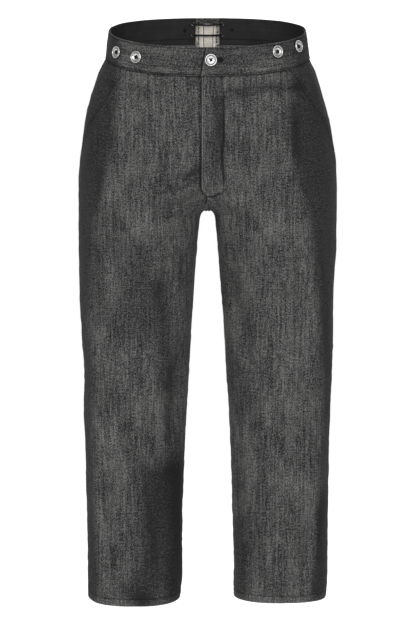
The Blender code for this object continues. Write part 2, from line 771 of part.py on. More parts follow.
def eyelet_frame(side, level):
    total = length(level, "back")[0]
    arc = total - BACK_GAP - GAP - EYELET_FROM_EDGE
    here = place(side, "back", level, arc, 0.0)
    inside = place(side, "back", level, arc, 0.001)
    return facing_out(Vector(here), Vector(here - inside).normalized())


def eyelets(bands, facings):
    """Two eyelets through each end of the band, in holes cut through band and facing."""
    outer, inner = BAND_OUT + GAP, -FACING_IN - GAP
    profile = (
        (EYELET_BORE, outer + EYELET_LIP),
        (EYELET_FLANGE, outer + EYELET_LIP),
        (EYELET_FLANGE, outer),
        (EYELET_BARREL, outer),
        (EYELET_BARREL, inner),
        (EYELET_FLANGE, inner),
        (EYELET_FLANGE, inner - EYELET_LIP),
        (EYELET_BORE, inner - EYELET_LIP),
    )
    for side, half in ((-1, "right"), (1, "left")):
        for level, row in zip(EYELET_LEVELS, ("upper", "lower")):
            name = "eyelet_" + half + "_" + row
            where = eyelet_frame(side, level)
            turned(name, profile, EYELET_SEGMENTS, METAL).matrix_world = where
            hole = drill("hole_" + name, EYELET_HOLE, EYELET_SEGMENTS, where)
            cut(bands[side], hole)
            cut(facings[side], hole)


def smooth_route(points, per_span):
    """A Catmull-Rom curve through the route's points."""
    p = np.array([points[0]] + list(points) + [points[-1]])
    route = []
    for i in range(1, len(p) - 2):
        for t in np.linspace(0, 1, per_span, endpoint=False):
            a, b, c, d = p[i - 1], p[i], p[i + 1], p[i + 2]
            bend = (2 * a - 5 * b + 4 * c - d) * t**2 + (3 * b - a - 3 * c + d) * t**3
            route.append(b + 0.5 * ((c - a) * t + bend))
    route.append(p[-2])
    return route


def tube(name, route, radius, finish):
    curve = bpy.data.curves.new(name, "CURVE")
    curve.dimensions = "3D"
    curve.bevel_depth = radius
    curve.bevel_resolution = 1
    curve.use_fill_caps = True
    spline = curve.splines.new("POLY")
    spline.points.add(len(route) - 1)
    for point, co in zip(spline.points, route):
        point.co = (*co, 1)
    thing = bpy.data.objects.new(name, curve)
    color, roughness, metallic = finish
    curve.materials.append(material(name, color, roughness, metallic))
    collection.objects.link(thing)
    return thing


def lace():
    """One lace through the four eyelets: two bars across inside, one run down outside,
    and its ends in a knot outside the wearer's right."""
    frames = {}
    for side, half in ((-1, "right"), (1, "left")):
        for level, row in zip(EYELET_LEVELS, ("upper", "lower")):
            frames[half, row] = eyelet_frame(side, level)

    def at(half, row, up, out):
        return frames[half, row] @ Vector((0, up, out))

    def bar(row):
        """Points of a sagging bar, from the wearer's right to the left."""
        right, left = at("right", row, 0, LACE_BAR), at("left", row, 0, LACE_BAR)
        sag = 4 * LACE_SAGS[row]
        return [right.lerp(left, t) - Vector((0, 0, sag * t * (1 - t))) for t in BAR_SPOTS]

    def through(half, row, way):
        """Points straight through an eyelet: way 1 goes in, -1 comes out."""
        return [at(half, row, 0, height) for height in LACE_THROUGH[::way]]

    upper, lower = frames["right", "upper"], frames["right", "lower"]
    halfway = (upper.translation.z - lower.translation.z) / 2
    knot = at("right", "upper", -halfway, KNOT_HEIGHT)
    points = [
        at("right", "upper", LACE_TO_KNOT - halfway, KNOT_HEIGHT),
        at("right", "upper", -LACE_KNOT_START, LACE_KNOT_RUN),
        *through("right", "upper", 1),
        *bar("upper"),
        *through("left", "upper", -1),
        at("left", "upper", -LACE_RUN_START, LACE_RUN),
        at("left", "lower", LACE_RUN_START, LACE_RUN),
        *through("left", "lower", 1),
        *bar("lower")[::-1],
        *through("right", "lower", -1),
        at("right", "lower", LACE_KNOT_START, LACE_KNOT_RUN),
        at("right", "lower", halfway - LACE_TO_KNOT, KNOT_HEIGHT),
    ]
    tube("lace", smooth_route(points, 3), LACE_RADIUS, THREAD)
    return knot, upper.to_3x3()


def lace_knot(knot, turned_to):
    """The knot, with two short free ends hanging from it outside the band."""
    built = bmesh.new()
    bmesh.ops.create_uvsphere(built, u_segments=12, v_segments=8, radius=1)
    bmesh.ops.scale(built, vec=KNOT_SIZE, verts=built.verts)
    mesh = bpy.data.meshes.new("lace_knot")
    built.to_mesh(mesh)
    built.free()
    thing = add("lace_knot", mesh, THREAD)
    thing.matrix_world = Matrix.Translation(knot) @ turned_to.to_4x4()
    for side in (-1, 1):
        route = [thing.matrix_world @ Vector((side * x, y, z)) for x, y, z in LACE_END_ROUTE]
        strand = tube("strand", smooth_route(route, 3), LACE_END_RADIUS, THREAD)
        graph = bpy.context.evaluated_depsgraph_get()
        solid = bpy.data.meshes.new_from_object(strand.evaluated_get(graph))
        bpy.data.objects.remove(strand)
        welded = bmesh.new()
        welded.from_mesh(solid)
        bmesh.ops.remove_doubles(welded, verts=welded.verts, dist=0.00001)
        welded.to_mesh(solid)
        welded.free()
        end_object = cutter_object("lace_end_" + ("a" if side < 0 else "b"), solid)
        joined = thing.modifiers.new("end", "BOOLEAN")
        joined.operation = "UNION"
        joined.object = end_object


def main():
    for thing in list(bpy.data.objects):
        bpy.data.objects.remove(thing, do_unlink=True)
    bpy.context.scene.collection.children.link(collection)
    bpy.context.scene.collection.children.link(cutters)
    bands, facings = {}, {}
    for side in (-1, 1):
        level, arc = front_panel(side)
        back_panel(side)
        pocket_bearer(side, level, arc)
        if side > 0:
            fly_facing(level, arc)
            fly_shield(level, arc)
        bands[side] = waistband(side)
        facings[side] = waistband_facing(side)
    gusset()
    buttonhole(bands[1], buttons())
    eyelets(bands, facings)
    lace_knot(*lace())


main()
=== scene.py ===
"""High-waisted denim work trousers, worn and empty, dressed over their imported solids.

Metres, +Z up, front at -Y, the wearer's left at +X. A place on the cloth is a level (its height
at the side), a face (front or back) and an arc: the way along the cloth from the side seam.
"""

import math
import random

import bmesh
import bpy
import numpy as np
from mathutils import Matrix, Vector


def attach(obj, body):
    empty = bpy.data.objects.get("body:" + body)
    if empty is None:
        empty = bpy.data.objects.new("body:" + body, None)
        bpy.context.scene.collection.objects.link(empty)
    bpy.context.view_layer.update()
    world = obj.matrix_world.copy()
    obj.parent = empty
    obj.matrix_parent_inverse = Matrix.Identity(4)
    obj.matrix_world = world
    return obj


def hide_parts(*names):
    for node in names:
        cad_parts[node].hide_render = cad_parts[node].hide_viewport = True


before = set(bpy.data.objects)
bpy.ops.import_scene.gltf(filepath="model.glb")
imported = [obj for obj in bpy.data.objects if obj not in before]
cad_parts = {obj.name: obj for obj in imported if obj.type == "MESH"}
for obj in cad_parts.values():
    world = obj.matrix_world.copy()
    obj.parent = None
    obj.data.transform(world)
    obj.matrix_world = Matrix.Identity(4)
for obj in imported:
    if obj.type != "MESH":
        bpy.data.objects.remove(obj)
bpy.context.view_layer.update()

# Heights at the side seam
BAND_TOP = 0.0235
BAND_SEAM = -0.0236
CROTCH = -0.2816
HEM = -0.9570
HEM_TURN = 0.014

# Cloth
WALL = 0.0012
BAND_OUT = 0.0006
BAND_IN = 0.0010
FACING_OUT = 0.0013
FACING_IN = 0.0021
FACING_SET_DOWN = 0.0008
FACING_SET_UP = 0.0015
FACING_STITCH = -0.0136
HEM_WALL = 0.0026
GAP = 0.0003
HALF_GAP = GAP / 2

# Sections, each a row: level, half width, half gap between the legs, depth to the front,
# depth to the back, squareness
SECTION_COLUMNS = ("level", "half_width", "half_gap", "front", "back", "square")
SECTION_ROWS = (
    (0.0235, 0.1660, 0.0125, 0.115, 0.115, 2.20),
    (0.0000, 0.1702, 0.0125, 0.116, 0.117, 2.20),
    (-0.0236, 0.1730, 0.0125, 0.118, 0.119, 2.20),
    (-0.0472, 0.1833, 0.0125, 0.121, 0.124, 2.22),
    (-0.0811, 0.1945, 0.0125, 0.124, 0.131, 2.25),
    (-0.1217, 0.2059, 0.0125, 0.127, 0.139, 2.28),
    (-0.1625, 0.2130, 0.0125, 0.128, 0.145, 2.28),
    (-0.2034, 0.2184, 0.0125, 0.128, 0.147, 2.25),
    (-0.2444, 0.2212, 0.0125, 0.125, 0.143, 2.20),
    (-0.2816, 0.2215, 0.0125, 0.119, 0.134, 2.15),
    (-0.3270, 0.2209, 0.0162, 0.110, 0.123, 2.10),
    (-0.4095, 0.2181, 0.0223, 0.098, 0.110, 2.10),
    (-0.4927, 0.2161, 0.0284, 0.089, 0.100, 2.10),
    (-0.5764, 0.2124, 0.0337, 0.081, 0.092, 2.10),
    (-0.6605, 0.2112, 0.0386, 0.073, 0.086, 2.10),
    (-0.7451, 0.2100, 0.0417, 0.066, 0.081, 2.10),
    (-0.8301, 0.2089, 0.0440, 0.060, 0.077, 2.25),
    (-0.9585, 0.2083, 0.0458, 0.053, 0.073, 2.45),
)
SECTIONS = dict(zip(SECTION_COLUMNS, np.array(SECTION_ROWS[::-1]).T))
RING_POINTS = 120
SEAM_ROUND = 0.010
SEAM_RISE = 0.220
SEAM_POWER = 1.4
RISE_LAG = 0.15
GAP_ROUNDING = 0.0055
GAP_SPREAD = 0.070
TILT_SLOPE = 0.204
TILT_BOW = -0.265
TILT_FULL = -0.020
TILT_END = -0.350
HEM_DROP = {-1: 0.0070, 1: 0.0012}
HEM_DROP_START = -0.800

# Large folds, each a row: face, x and z at both ends, half width, height
FOLD_COLUMNS = ("face", "x0", "z0", "x1", "z1", "spread", "rise")
FOLD_ROWS = (
    ("front", 0.010, -0.206, -0.105, -0.245, 0.012, -0.0060),
    ("front", -0.002, -0.226, -0.110, -0.262, 0.011, 0.0045),
    ("front", -0.002, -0.246, -0.085, -0.281, 0.010, -0.0060),
    ("front", 0.066, -0.105, 0.020, -0.165, 0.012, -0.0035),
    ("front", 0.004, -0.215, 0.090, -0.262, 0.014, -0.0035),
    ("front", -0.150, -0.082, -0.085, -0.070, 0.009, -0.0025),
    ("front", -0.130, -0.240, -0.134, -0.420, 0.018, 0.0055),
    ("front", -0.143, -0.410, -0.166, -0.680, 0.017, 0.0055),
    ("front", -0.071, -0.360, -0.073, -0.470, 0.018, -0.0065),
    ("front", -0.050, -0.500, -0.060, -0.690, 0.015, -0.0060),
    ("front", -0.126, -0.640, -0.092, -0.930, 0.016, 0.0070),
    ("front", -0.080, -0.680, -0.060, -0.945, 0.020, -0.0075),
    ("front", 0.040, -0.350, 0.070, -0.560, 0.016, -0.0060),
    ("front", 0.130, -0.330, 0.128, -0.520, 0.018, 0.0045),
    ("front", 0.160, -0.560, 0.090, -0.680, 0.014, -0.0045),
    ("front", 0.110, -0.700, 0.092, -0.900, 0.016, 0.0055),
    ("front", 0.186, -0.770, 0.158, -0.945, 0.012, -0.0060),
    ("back", -0.010, -0.245, -0.120, -0.285, 0.016, -0.0050),
    ("back", 0.010, -0.240, 0.125, -0.290, 0.016, -0.0045),
    ("back", -0.060, -0.300, -0.150, -0.330, 0.014, -0.0035),
    ("back", 0.070, -0.310, 0.150, -0.335, 0.014, -0.0040),
    ("back", -0.080, -0.555, -0.180, -0.590, 0.016, -0.0045),
    ("back", 0.070, -0.570, 0.170, -0.600, 0.016, -0.0045),
    ("back", -0.120, -0.360, -0.125, -0.540, 0.020, 0.0040),
    ("back", 0.125, -0.370, 0.118, -0.560, 0.020, 0.0040),
    ("back", -0.110, -0.640, -0.120, -0.900, 0.018, 0.0045),
    ("back", 0.130, -0.650, 0.105, -0.900, 0.018, 0.0045),
)
FOLD_SEAM_FADE = (0.05, 0.55)
FOLD_BAND_FADE = (0.004, 0.040)

# Finer creases, each a row: face, x and z at the start, bend and end, half width, height.
# A trough has a softer ridge beside it.
CREASE_COLUMNS = ("face", "x0", "z0", "x1", "z1", "x2", "z2", "spread", "rise")
CREASE_ROWS = (
    ("front", 0.000, -0.214, -0.050, -0.216, -0.098, -0.240, 0.0065, -0.0022),
    ("front", -0.006, -0.236, -0.045, -0.246, -0.092, -0.262, 0.0060, 0.0014),
    ("front", -0.006, -0.256, -0.040, -0.262, -0.074, -0.279, 0.0060, -0.0022),
    ("front", 0.010, -0.222, 0.045, -0.232, 0.078, -0.250, 0.0065, -0.0016),
    ("front", 0.008, -0.256, 0.036, -0.270, 0.060, -0.300, 0.0070, -0.0016),
    ("front", 0.062, -0.110, 0.048, -0.130, 0.024, -0.160, 0.0070, -0.0014),
    ("front", -0.139, -0.082, -0.118, -0.066, -0.090, -0.078, 0.0055, -0.0015),
    ("front", 0.062, -0.088, 0.076, -0.087, 0.092, -0.090, 0.0035, -0.0012),
    ("front", 0.086, -0.206, 0.100, -0.205, 0.115, -0.208, 0.0040, -0.0010),
    ("front", 0.116, -0.104, 0.116, -0.130, 0.104, -0.145, 0.0045, -0.0014),
    ("front", -0.085, -0.112, -0.087, -0.126, -0.085, -0.138, 0.0035, -0.0008),
    ("front", -0.089, -0.168, -0.090, -0.182, -0.089, -0.194, 0.0035, -0.0008),
    ("front", -0.040, -0.300, -0.060, -0.335, -0.100, -0.360, 0.0100, -0.0022),
    ("front", -0.078, -0.372, -0.072, -0.410, -0.082, -0.445, 0.0090, -0.0030),
    ("front", -0.150, -0.290, -0.160, -0.370, -0.150, -0.450, 0.0110, -0.0018),
    ("front", -0.048, -0.520, -0.062, -0.560, -0.054, -0.600, 0.0075, -0.0028),
    ("front", -0.062, -0.610, -0.055, -0.645, -0.064, -0.680, 0.0080, -0.0024),
    ("front", -0.124, -0.686, -0.112, -0.770, -0.102, -0.830, 0.0080, 0.0026),
    ("front", -0.112, -0.700, -0.090, -0.800, -0.078, -0.925, 0.0100, -0.0034),
    ("front", -0.176, -0.720, -0.180, -0.800, -0.168, -0.900, 0.0080, -0.0016),
    ("front", 0.036, -0.372, 0.038, -0.410, 0.052, -0.470, 0.0080, -0.0026),
    ("front", 0.060, -0.500, 0.070, -0.540, 0.092, -0.580, 0.0080, -0.0024),
    ("front", 0.118, -0.575, 0.136, -0.604, 0.156, -0.640, 0.0070, -0.0022),
    ("front", 0.170, -0.500, 0.160, -0.560, 0.172, -0.620, 0.0090, -0.0018),
    ("front", 0.090, -0.640, 0.076, -0.720, 0.080, -0.800, 0.0080, -0.0022),
    ("front", 0.060, -0.830, 0.074, -0.880, 0.066, -0.940, 0.0070, -0.0022),
    ("front", 0.186, -0.790, 0.176, -0.860, 0.160, -0.942, 0.0065, -0.0026),
    ("front", 0.136, -0.850, 0.140, -0.900, 0.132, -0.946, 0.0070, -0.0014),
    ("back", -0.006, -0.262, -0.060, -0.262, -0.118, -0.296, 0.0080, -0.0026),
    ("back", 0.006, -0.256, 0.066, -0.262, 0.124, -0.300, 0.0085, -0.0024),
    ("back", -0.010, -0.236, -0.050, -0.226, -0.100, -0.236, 0.0070, -0.0014),
    ("back", 0.008, -0.228, 0.060, -0.216, 0.108, -0.228, 0.0070, -0.0015),
    ("back", -0.030, -0.310, -0.070, -0.324, -0.120, -0.356, 0.0080, -0.0020),
    ("back", 0.034, -0.316, 0.074, -0.330, 0.118, -0.362, 0.0080, -0.0022),
    ("back", -0.160, -0.330, -0.130, -0.345, -0.110, -0.372, 0.0080, -0.0016),
    ("back", 0.172, -0.336, 0.140, -0.348, 0.118, -0.380, 0.0080, -0.0016),
    ("back", -0.060, -0.520, -0.110, -0.548, -0.160, -0.540, 0.0080, -0.0024),
    ("back", -0.070, -0.590, -0.120, -0.612, -0.175, -0.596, 0.0080, -0.0022),
    ("back", 0.060, -0.534, 0.104, -0.556, 0.160, -0.546, 0.0080, -0.0024),
    ("back", 0.066, -0.604, 0.110, -0.626, 0.170, -0.610, 0.0080, -0.0020),
    ("back", -0.090, -0.690, -0.110, -0.760, -0.100, -0.840, 0.0085, -0.0020),
    ("back", -0.160, -0.760, -0.150, -0.850, -0.160, -0.940, 0.0080, -0.0020),
    ("back", 0.086, -0.700, 0.098, -0.790, 0.088, -0.880, 0.0080, -0.0022),
    ("back", 0.164, -0.740, 0.172, -0.840, 0.160, -0.940, 0.0080, -0.0018),
    ("back", -0.050, -0.050, -0.090, -0.075, -0.140, -0.078, 0.0070, -0.0012),
    ("back", 0.048, -0.052, 0.086, -0.080, 0.138, -0.084, 0.0070, -0.0012),
)

CREASE_STRENGTH = 1.6
RIDGE_SHARE = 0.4
RIDGE_OFF = 1.7

# Finer relief, each a noise: its cell in metres, its height and its seed
SWELL = ((0.050, 0.050, 0.090), 0.0014, 1)
WAVE = ((0.020, 0.020, 0.032), 0.0008, 2)
RIPPLE = ((0.009, 0.009, 0.012), 0.00030, 3)
LEVEL_PUCKER = ((0.0075, 0.0075, 0.040), 1.0, 4)
UPRIGHT_PUCKER = ((0.040, 0.040, 0.0085), 0.0006, 5)
FLY_PUCKER = ((0.050, 0.050, 0.0090), 0.0006, 6)
TURN_RISE = 0.0034
TURN_SPREAD = 0.018
BAND_PUCKER_RISE = 0.0006
HEM_PUCKER_RISE = 0.0005
HEM_GROOVE = 0.0006

# How far the patches of painted shade, painted light and fade are pushed about, as noises of the same
# kind
SHADE_WARP_X = ((0.016, 0.045, 1.0), 0.0045, 9)
SHADE_WARP_Z = ((0.020, 0.030, 1.0), 0.0080, 10)

# Where the faded front turns into the side, which is darkened with painted shade: z and x at each point,
# for both halves
TURN_ROWS = {
    -1: ((-0.940, 0.188), (-0.852, 0.190), (-0.709, 0.197), (-0.568, 0.196), (-0.432, 0.203),
         (-0.294, 0.188), (-0.242, 0.174), (-0.158, 0.156), (-0.079, 0.151), (0.030, 0.144)),
    1: ((-0.940, 0.176), (-0.852, 0.183), (-0.711, 0.192), (-0.572, 0.200), (-0.447, 0.187),
        (-0.379, 0.183), (-0.279, 0.165), (-0.224, 0.151), (-0.157, 0.139), (0.030, 0.146)),
}

# Patches of painted shade and painted light, with some real fade, each a row: face, x and z at both
# ends, half width, and what it adds to the fade and painted shade
SHADE_COLUMNS = ("face", "x0", "z0", "x1", "z1", "spread", "lift")
SHADE_ROWS = (
    ("front", -0.150, -0.006, -0.010, -0.027, 0.017, -0.30),
    ("front", 0.012, -0.027, 0.146, -0.008, 0.017, -0.52),
    ("front", -0.052, -0.738, -0.048, -0.962, 0.029, -1.55),
    ("front", -0.096, -0.736, -0.106, -0.955, 0.024, -0.90),
    ("front", -0.134, -0.930, -0.115, -0.958, 0.018, -0.75),
    ("front", -0.124, -0.340, -0.120, -0.470, 0.030, -0.42),
    ("front", -0.076, -0.400, -0.072, -0.570, 0.016, -0.85),
    ("front", -0.107, -0.375, -0.100, -0.495, 0.012, -0.38),
    ("front", -0.068, -0.590, -0.058, -0.725, 0.016, -0.50),
    ("front", 0.206, -0.300, 0.206, -0.620, 0.015, -0.55),
    ("front", -0.168, -0.476, -0.176, -0.640, 0.012, 0.32),
    ("front", -0.174, -0.660, -0.179, -0.945, 0.010, 0.22),
    ("front", -0.184, -0.350, -0.182, -0.460, 0.012, -0.50),
    ("front", -0.179, -0.212, -0.179, -0.305, 0.010, -0.35),
    ("front", -0.186, -0.064, -0.100, -0.074, 0.010, -0.40),
    ("front", -0.120, -0.110, -0.100, -0.230, 0.022, 0.12),
    ("front", -0.036, -0.214, -0.010, -0.207, 0.007, -0.65),
    ("front", -0.009, -0.221, -0.086, -0.241, 0.0036, -0.55),
    ("front", -0.009, -0.257, -0.070, -0.281, 0.0036, -0.60),
    ("front", 0.017, -0.100, 0.024, -0.178, 0.013, -0.60),
    ("front", 0.024, -0.125, -0.024, -0.215, 0.010, -0.30),
    ("front", 0.016, -0.060, 0.017, -0.225, 0.012, -0.42),
    ("front", 0.041, -0.078, 0.158, -0.064, 0.012, -0.80),
    ("front", 0.138, -0.101, 0.144, -0.178, 0.012, -0.70),
    ("front", 0.007, -0.249, 0.065, -0.238, 0.008, -0.30),
    ("front", 0.030, -0.288, 0.045, -0.370, 0.011, 0.72),
    ("front", -0.024, -0.288, -0.024, -0.345, 0.010, 0.50),
    ("front", 0.168, -0.370, 0.176, -0.580, 0.010, 0.20),
    ("front", 0.158, -0.672, 0.158, -0.745, 0.008, 0.20),
    ("front", 0.086, -0.408, 0.082, -0.502, 0.012, 0.25),
    ("front", 0.036, -0.400, 0.038, -0.485, 0.008, 0.28),
    ("front", 0.048, -0.540, 0.079, -0.564, 0.008, -0.42),
    ("front", 0.124, -0.614, 0.141, -0.648, 0.010, -0.28),
    ("front", 0.093, -0.756, 0.093, -0.880, 0.010, -0.38),
    ("front", 0.055, -0.820, 0.058, -0.962, 0.015, -0.82),
    ("front", 0.093, -0.900, 0.141, -0.955, 0.016, -0.36),
    ("front", 0.203, -0.775, 0.200, -0.955, 0.012, -0.85),
    ("back", 0.060, -0.180, 0.120, -0.260, 0.030, 0.22),
    ("back", -0.066, -0.170, -0.118, -0.250, 0.028, 0.18),
    ("back", 0.006, -0.262, 0.090, -0.276, 0.010, -0.45),
    ("back", -0.006, -0.264, -0.084, -0.282, 0.009, -0.45),
    ("back", 0.070, -0.560, 0.150, -0.590, 0.016, -0.35),
    ("back", -0.074, -0.550, -0.160, -0.575, 0.015, -0.35),
    ("back", 0.062, -0.760, 0.060, -0.950, 0.020, -0.55),
    ("back", -0.060, -0.720, -0.064, -0.950, 0.022, -0.60),
    ("back", 0.140, -0.640, 0.146, -0.880, 0.016, 0.20),
    ("back", -0.136, -0.660, -0.140, -0.900, 0.016, 0.18),
)

# Front opening
LAP_TOP = 0.0017
LAP_SEAM = 0.0103
LAP_FLY = 0.0090
BAND_UNDER = 0.0250
LAP_START_FADE = -0.2290
LAP_END = -0.2500
DIP = 0.0034
DIP_FROM = 0.012
DIP_TO = 0.035
DIP_FADE_START = -0.2520
DIP_FADE_END = -0.2700
FLY_WIDTH = 0.0280
FLY_FACING_OUT = 0.0015
FLY_FACING_IN = 0.0025
FLY_END = -0.232
FLY_FOOT = -0.233
FLY_GROOVE = 0.0012
FLY_UNDERLAP = 0.0045
SEAM_LIP = 0.0005

# Side pocket
POCKET_TOP = 0.090
POCKET_END = -0.2000
POCKET_POWER = 1.8
POCKET_BEARER_OUT = 0.0017
POCKET_LEAST = 0.002
POCKET_SLOPE = 0.015
POCKET_UNDER = 0.020

# Back gap, gusset and lace
BACK_GAP = 0.0205
GUSSET_END = -0.120
BINDING_HEIGHT = 0.0105
BINDING_SET_DOWN = 0.0002
EYELET_FROM_EDGE = 0.0052
EYELET_LEVELS = (0.0135, -0.0055)
EYELET_HOLE = 0.0029
LACE_RADIUS = 0.0017
LACE_TO_KNOT = 0.0034
KNOT_OUT = 0.0068
KNOT_STEPS = 72
KNOT_SIZE = (0.00115, 0.00078, 0.0013)
LACE_END = ((0.0010, 0, 0.0004), (0.0030, -0.0008, 0.0008), (0.0055, -0.004, 0.0010),
            (0.0075, -0.014, 0.0008), (0.0070, -0.030, 0.0004))

# What edges, seams and stitch lines add to the wear and painted shading, or take from it: edges, hem and
# band top lighten with wear, the fly groove's flanks get a painted highlight, the lapped fly and band
# edges wear and a painted highlight, and seams, stitch grooves and the cloth beside a lap get painted
# shade and shadow
EDGE_LIGHT = 0.55
HEM_LIGHT = 0.25
FLANK_PAINTED_HIGHLIGHT = 0.30
FLY_EDGE_WEAR_AND_HIGHLIGHT = 0.75
BAND_TOP_LIGHT = 0.45
BAND_LAP_WEAR_AND_HIGHLIGHT = 1.2
BAND_LINE_LIGHT = 0.5
SEAM_PAINTED_SHADE = 0.9
BAND_SEAM_PAINTED_SHADE = 1.0
BAND_STITCH_PAINTED_SHADE = 0.35
HEM_STITCH_PAINTED_SHADE = 0.20
GROOVE_PAINTED_SHADE = 1.3
LAP_PAINTED_SHADOW = 1.4

# Buttons: name, side, face, x, level
BUTTON_COLUMNS = ("name", "side", "face", "x", "level")
BUTTON_ROWS = (
    ("waist", 1, "front", 0.0058, 0.0026),
    ("brace_front_right_inner", -1, "front", 0.1178, -0.0002),
    ("brace_front_right_outer", -1, "front", 0.1504, 0.0002),
    ("brace_front_left_inner", 1, "front", 0.1152, 0.0090),
    ("brace_front_left_outer", 1, "front", 0.1507, 0.0095),
    ("brace_back_right", -1, "back", 0.0400, 0.0020),
    ("brace_back_left", 1, "back", 0.0430, 0.0040),
)
BUTTONHOLE_END = 0.0238

# Stitch lines: how far each runs from its edge
BAND_STITCH = 0.0028
EDGE_STITCH = 0.0018
POCKET_STITCHES = (EDGE_STITCH, 0.0075)
SEAM_STITCHES = (EDGE_STITCH, 0.0080)
HEM_STITCH = 0.0128
FLY_EDGE_STITCH = 0.0020
STITCH_RADIUS = 0.00030
FACING_STITCH_RADIUS = 0.00026

# Grids
GRAIN_X = 0.110
LEG_CENTRE = 0.12
ROWS_ABOVE = 110
ROWS_BELOW = 210
CROWDED_ABOVE = 1.6
CROWDED_BELOW = 1.5
MAIN_COLUMNS = 62
BAND_COLUMNS = {"front": 100, "back": 96}
BAND_BACK_RUN = 0.28
USUAL_WIDTH = 0.30
CALM_SAMPLES = 200
CALM_DEGREE = 4
CALM_POWER = 4
EDGE_STEPS = (0.0, 0.0009, 0.0020, 0.0040)
INNER_STEPS = (0.0, 0.0009, 0.0020, 0.0040, 0.0065, 0.0090, 0.0120, 0.0150, 0.0180,
               0.0210, 0.0240, 0.0270, 0.0300, 0.0330, 0.0360)
EDGE_ROLL = 0.0009
EDGE_SINK = 0.00045
SIDES = {-1: "right", 1: "left"}


def table(columns, rows, face=None):
    """A table's rows as dicts: all of them, or those of one face."""
    made = [dict(zip(columns, row)) for row in rows]
    return [row for row in made if face is None or row["face"] == face]


# Section curves

def along(column, level):
    """One column of the sections at any level, on a smooth curve that never overshoots."""
    known, value = SECTIONS["level"], SECTIONS[column]
    step = np.diff(known)
    rise = np.diff(value) / step
    slope = np.empty_like(value)
    slope[0], slope[-1] = rise[0], rise[-1]
    same_way = rise[1:] * rise[:-1] > 0
    total = np.where(same_way, rise[1:] + rise[:-1], 1.0)
    slope[1:-1] = np.where(same_way, 2 * rise[1:] * rise[:-1] / total, 0.0)
    i = np.clip(np.searchsorted(known, level) - 1, 0, len(known) - 2)
    t = (level - known[i]) / step[i]
    start = (1 + 2 * t) * (1 - t) ** 2 * value[i] + t * (1 - t) ** 2 * step[i] * slope[i]
    return start + t * t * (3 - 2 * t) * value[i + 1] + t * t * (t - 1) * step[i] * slope[i + 1]


def ease(value, start, end):
    """0 at start, 1 at end, and smooth between them."""
    t = np.clip((value - start) / (end - start), 0, 1)
    return t * t * (3 - 2 * t)


def mid_and_depth(level):
    """The y of the side seam, and the half depth of the section."""
    front, back = along("front", level), along("back", level)
    return (back - front) / 2, (back + front) / 2


def ring(level, face):
    """x, y and arc of one face's section at each level, from the side seam inwards."""
    level = np.asarray(level, float).reshape(-1, 1)
    outer = np.hypot(along("half_width", level), SEAM_ROUND)
    below = np.clip(CROTCH - level, 0, None)
    gap = along("half_gap", level) * np.sqrt(1 - np.exp(-below / GAP_ROUNDING))
    parted = ease(below, 0, GAP_SPREAD)
    height = np.clip((level - CROTCH) / SEAM_RISE, 0, 1)
    late = height**2 * (1 + RISE_LAG) / (height + RISE_LAG)
    apart = np.hypot(gap * parted, SEAM_ROUND)
    inner, settled = (
        np.where(below > 0, apart, SEAM_ROUND - (outer + SEAM_ROUND) * (1 - (1 - t) ** SEAM_POWER))
        for t in (height, late))
    centre = (outer + settled) / 2
    middle, depth = mid_and_depth(level)
    square = along("square", level)
    stop = np.maximum(inner, SEAM_ROUND) - centre
    stop = np.clip(stop / np.where(stop > 0, outer - centre, centre - inner), -1, 1)
    last = np.arccos(np.sign(stop) * np.abs(stop) ** (square / 2))
    t = np.linspace(0, 1, RING_POINTS)
    turn = last * t * (2 - t)
    reach = np.where(np.cos(turn) > 0, outer - centre, centre - inner)
    across = centre + reach * np.sign(np.cos(turn)) * np.abs(np.cos(turn)) ** (2 / square)
    x = np.sqrt(np.clip(across**2 - SEAM_ROUND**2, 0, None))
    x = (x**4 + gap**4 * (1 - parted**4)) ** 0.25
    way = -1 if face == "front" else 1
    y = middle + way * depth * np.abs(np.sin(turn)) ** (2 / square)
    arc = np.zeros_like(x)
    arc[:, 1:] = np.cumsum(np.hypot(np.diff(x, axis=1), np.diff(y, axis=1)), axis=1)
    return x, y, arc


def length(level, face):
    """Arc from the side seam to the middle of the body, or to the inseam below the crotch."""
    level = np.asarray(level, float)
    return ring(level.ravel(), face)[2][:, -1].reshape(level.shape)


def calm_length(level, face):
    """A length that passes the crotch without the sudden growth of the real one."""
    known = np.linspace(HEM, BAND_SEAM, CALM_SAMPLES)
    return np.polynomial.Polynomial.fit(known, length(known, face), CALM_DEGREE)(level)


def trace(level, arc, face):
    """x, y, the outward direction in plan, and the arc's distance from the grain line."""
    x, y, arcs = ring(level, face)
    total = arcs[:, -1]
    past = (arc > total) & (level >= CROTCH)
    wanted = np.clip(np.where(past, 2 * total - arc, arc), 0, total)
    n = np.arange(len(total))

    def where(index):
        return np.clip(index - 1, 0, RING_POINTS - 2)

    i = where((arcs < wanted[:, None]).sum(axis=1))
    t = (wanted - arcs[n, i]) / (arcs[n, i + 1] - arcs[n, i])
    g = where((x > GRAIN_X).sum(axis=1))
    part = (x[n, g] - GRAIN_X) / (x[n, g] - x[n, g + 1])
    grain = arcs[n, g] * (1 - part) + arcs[n, g + 1] * part
    tangent_x, tangent_y = np.gradient(x, axis=1), np.gradient(y, axis=1)

    def between(values):
        return values[n, i] * (1 - t) + values[n, i + 1] * t

    turn = -1 if face == "front" else 1
    out = np.stack([turn * between(tangent_y), -turn * between(tangent_x)], axis=1)
    out /= np.linalg.norm(out, axis=1)[:, None]
    flip = np.where(past, -1, 1)
    out *= np.stack([flip, np.ones_like(flip)], axis=1)
    return between(x) * flip, between(y), out, arc - grain


# The cloth surface

def value_noise(points, seed):
    """Smooth noise from -1 to 1 at points in cells of size 1."""
    cell = np.floor(points)
    part = points - cell
    part = part * part * (3 - 2 * part)
    total = 0.0
    for corner in range(8):
        offset = np.array([corner & 1, corner >> 1 & 1, corner >> 2 & 1])
        at = cell + offset
        mixed = np.sin(at @ np.array([127.1, 311.7, 74.7]) + seed * 19.19) * 43758.5453
        weight = np.prod(np.where(offset, part, 1 - part), axis=-1)
        total = total + weight * (mixed - np.floor(mixed))
    return 2 * total - 1


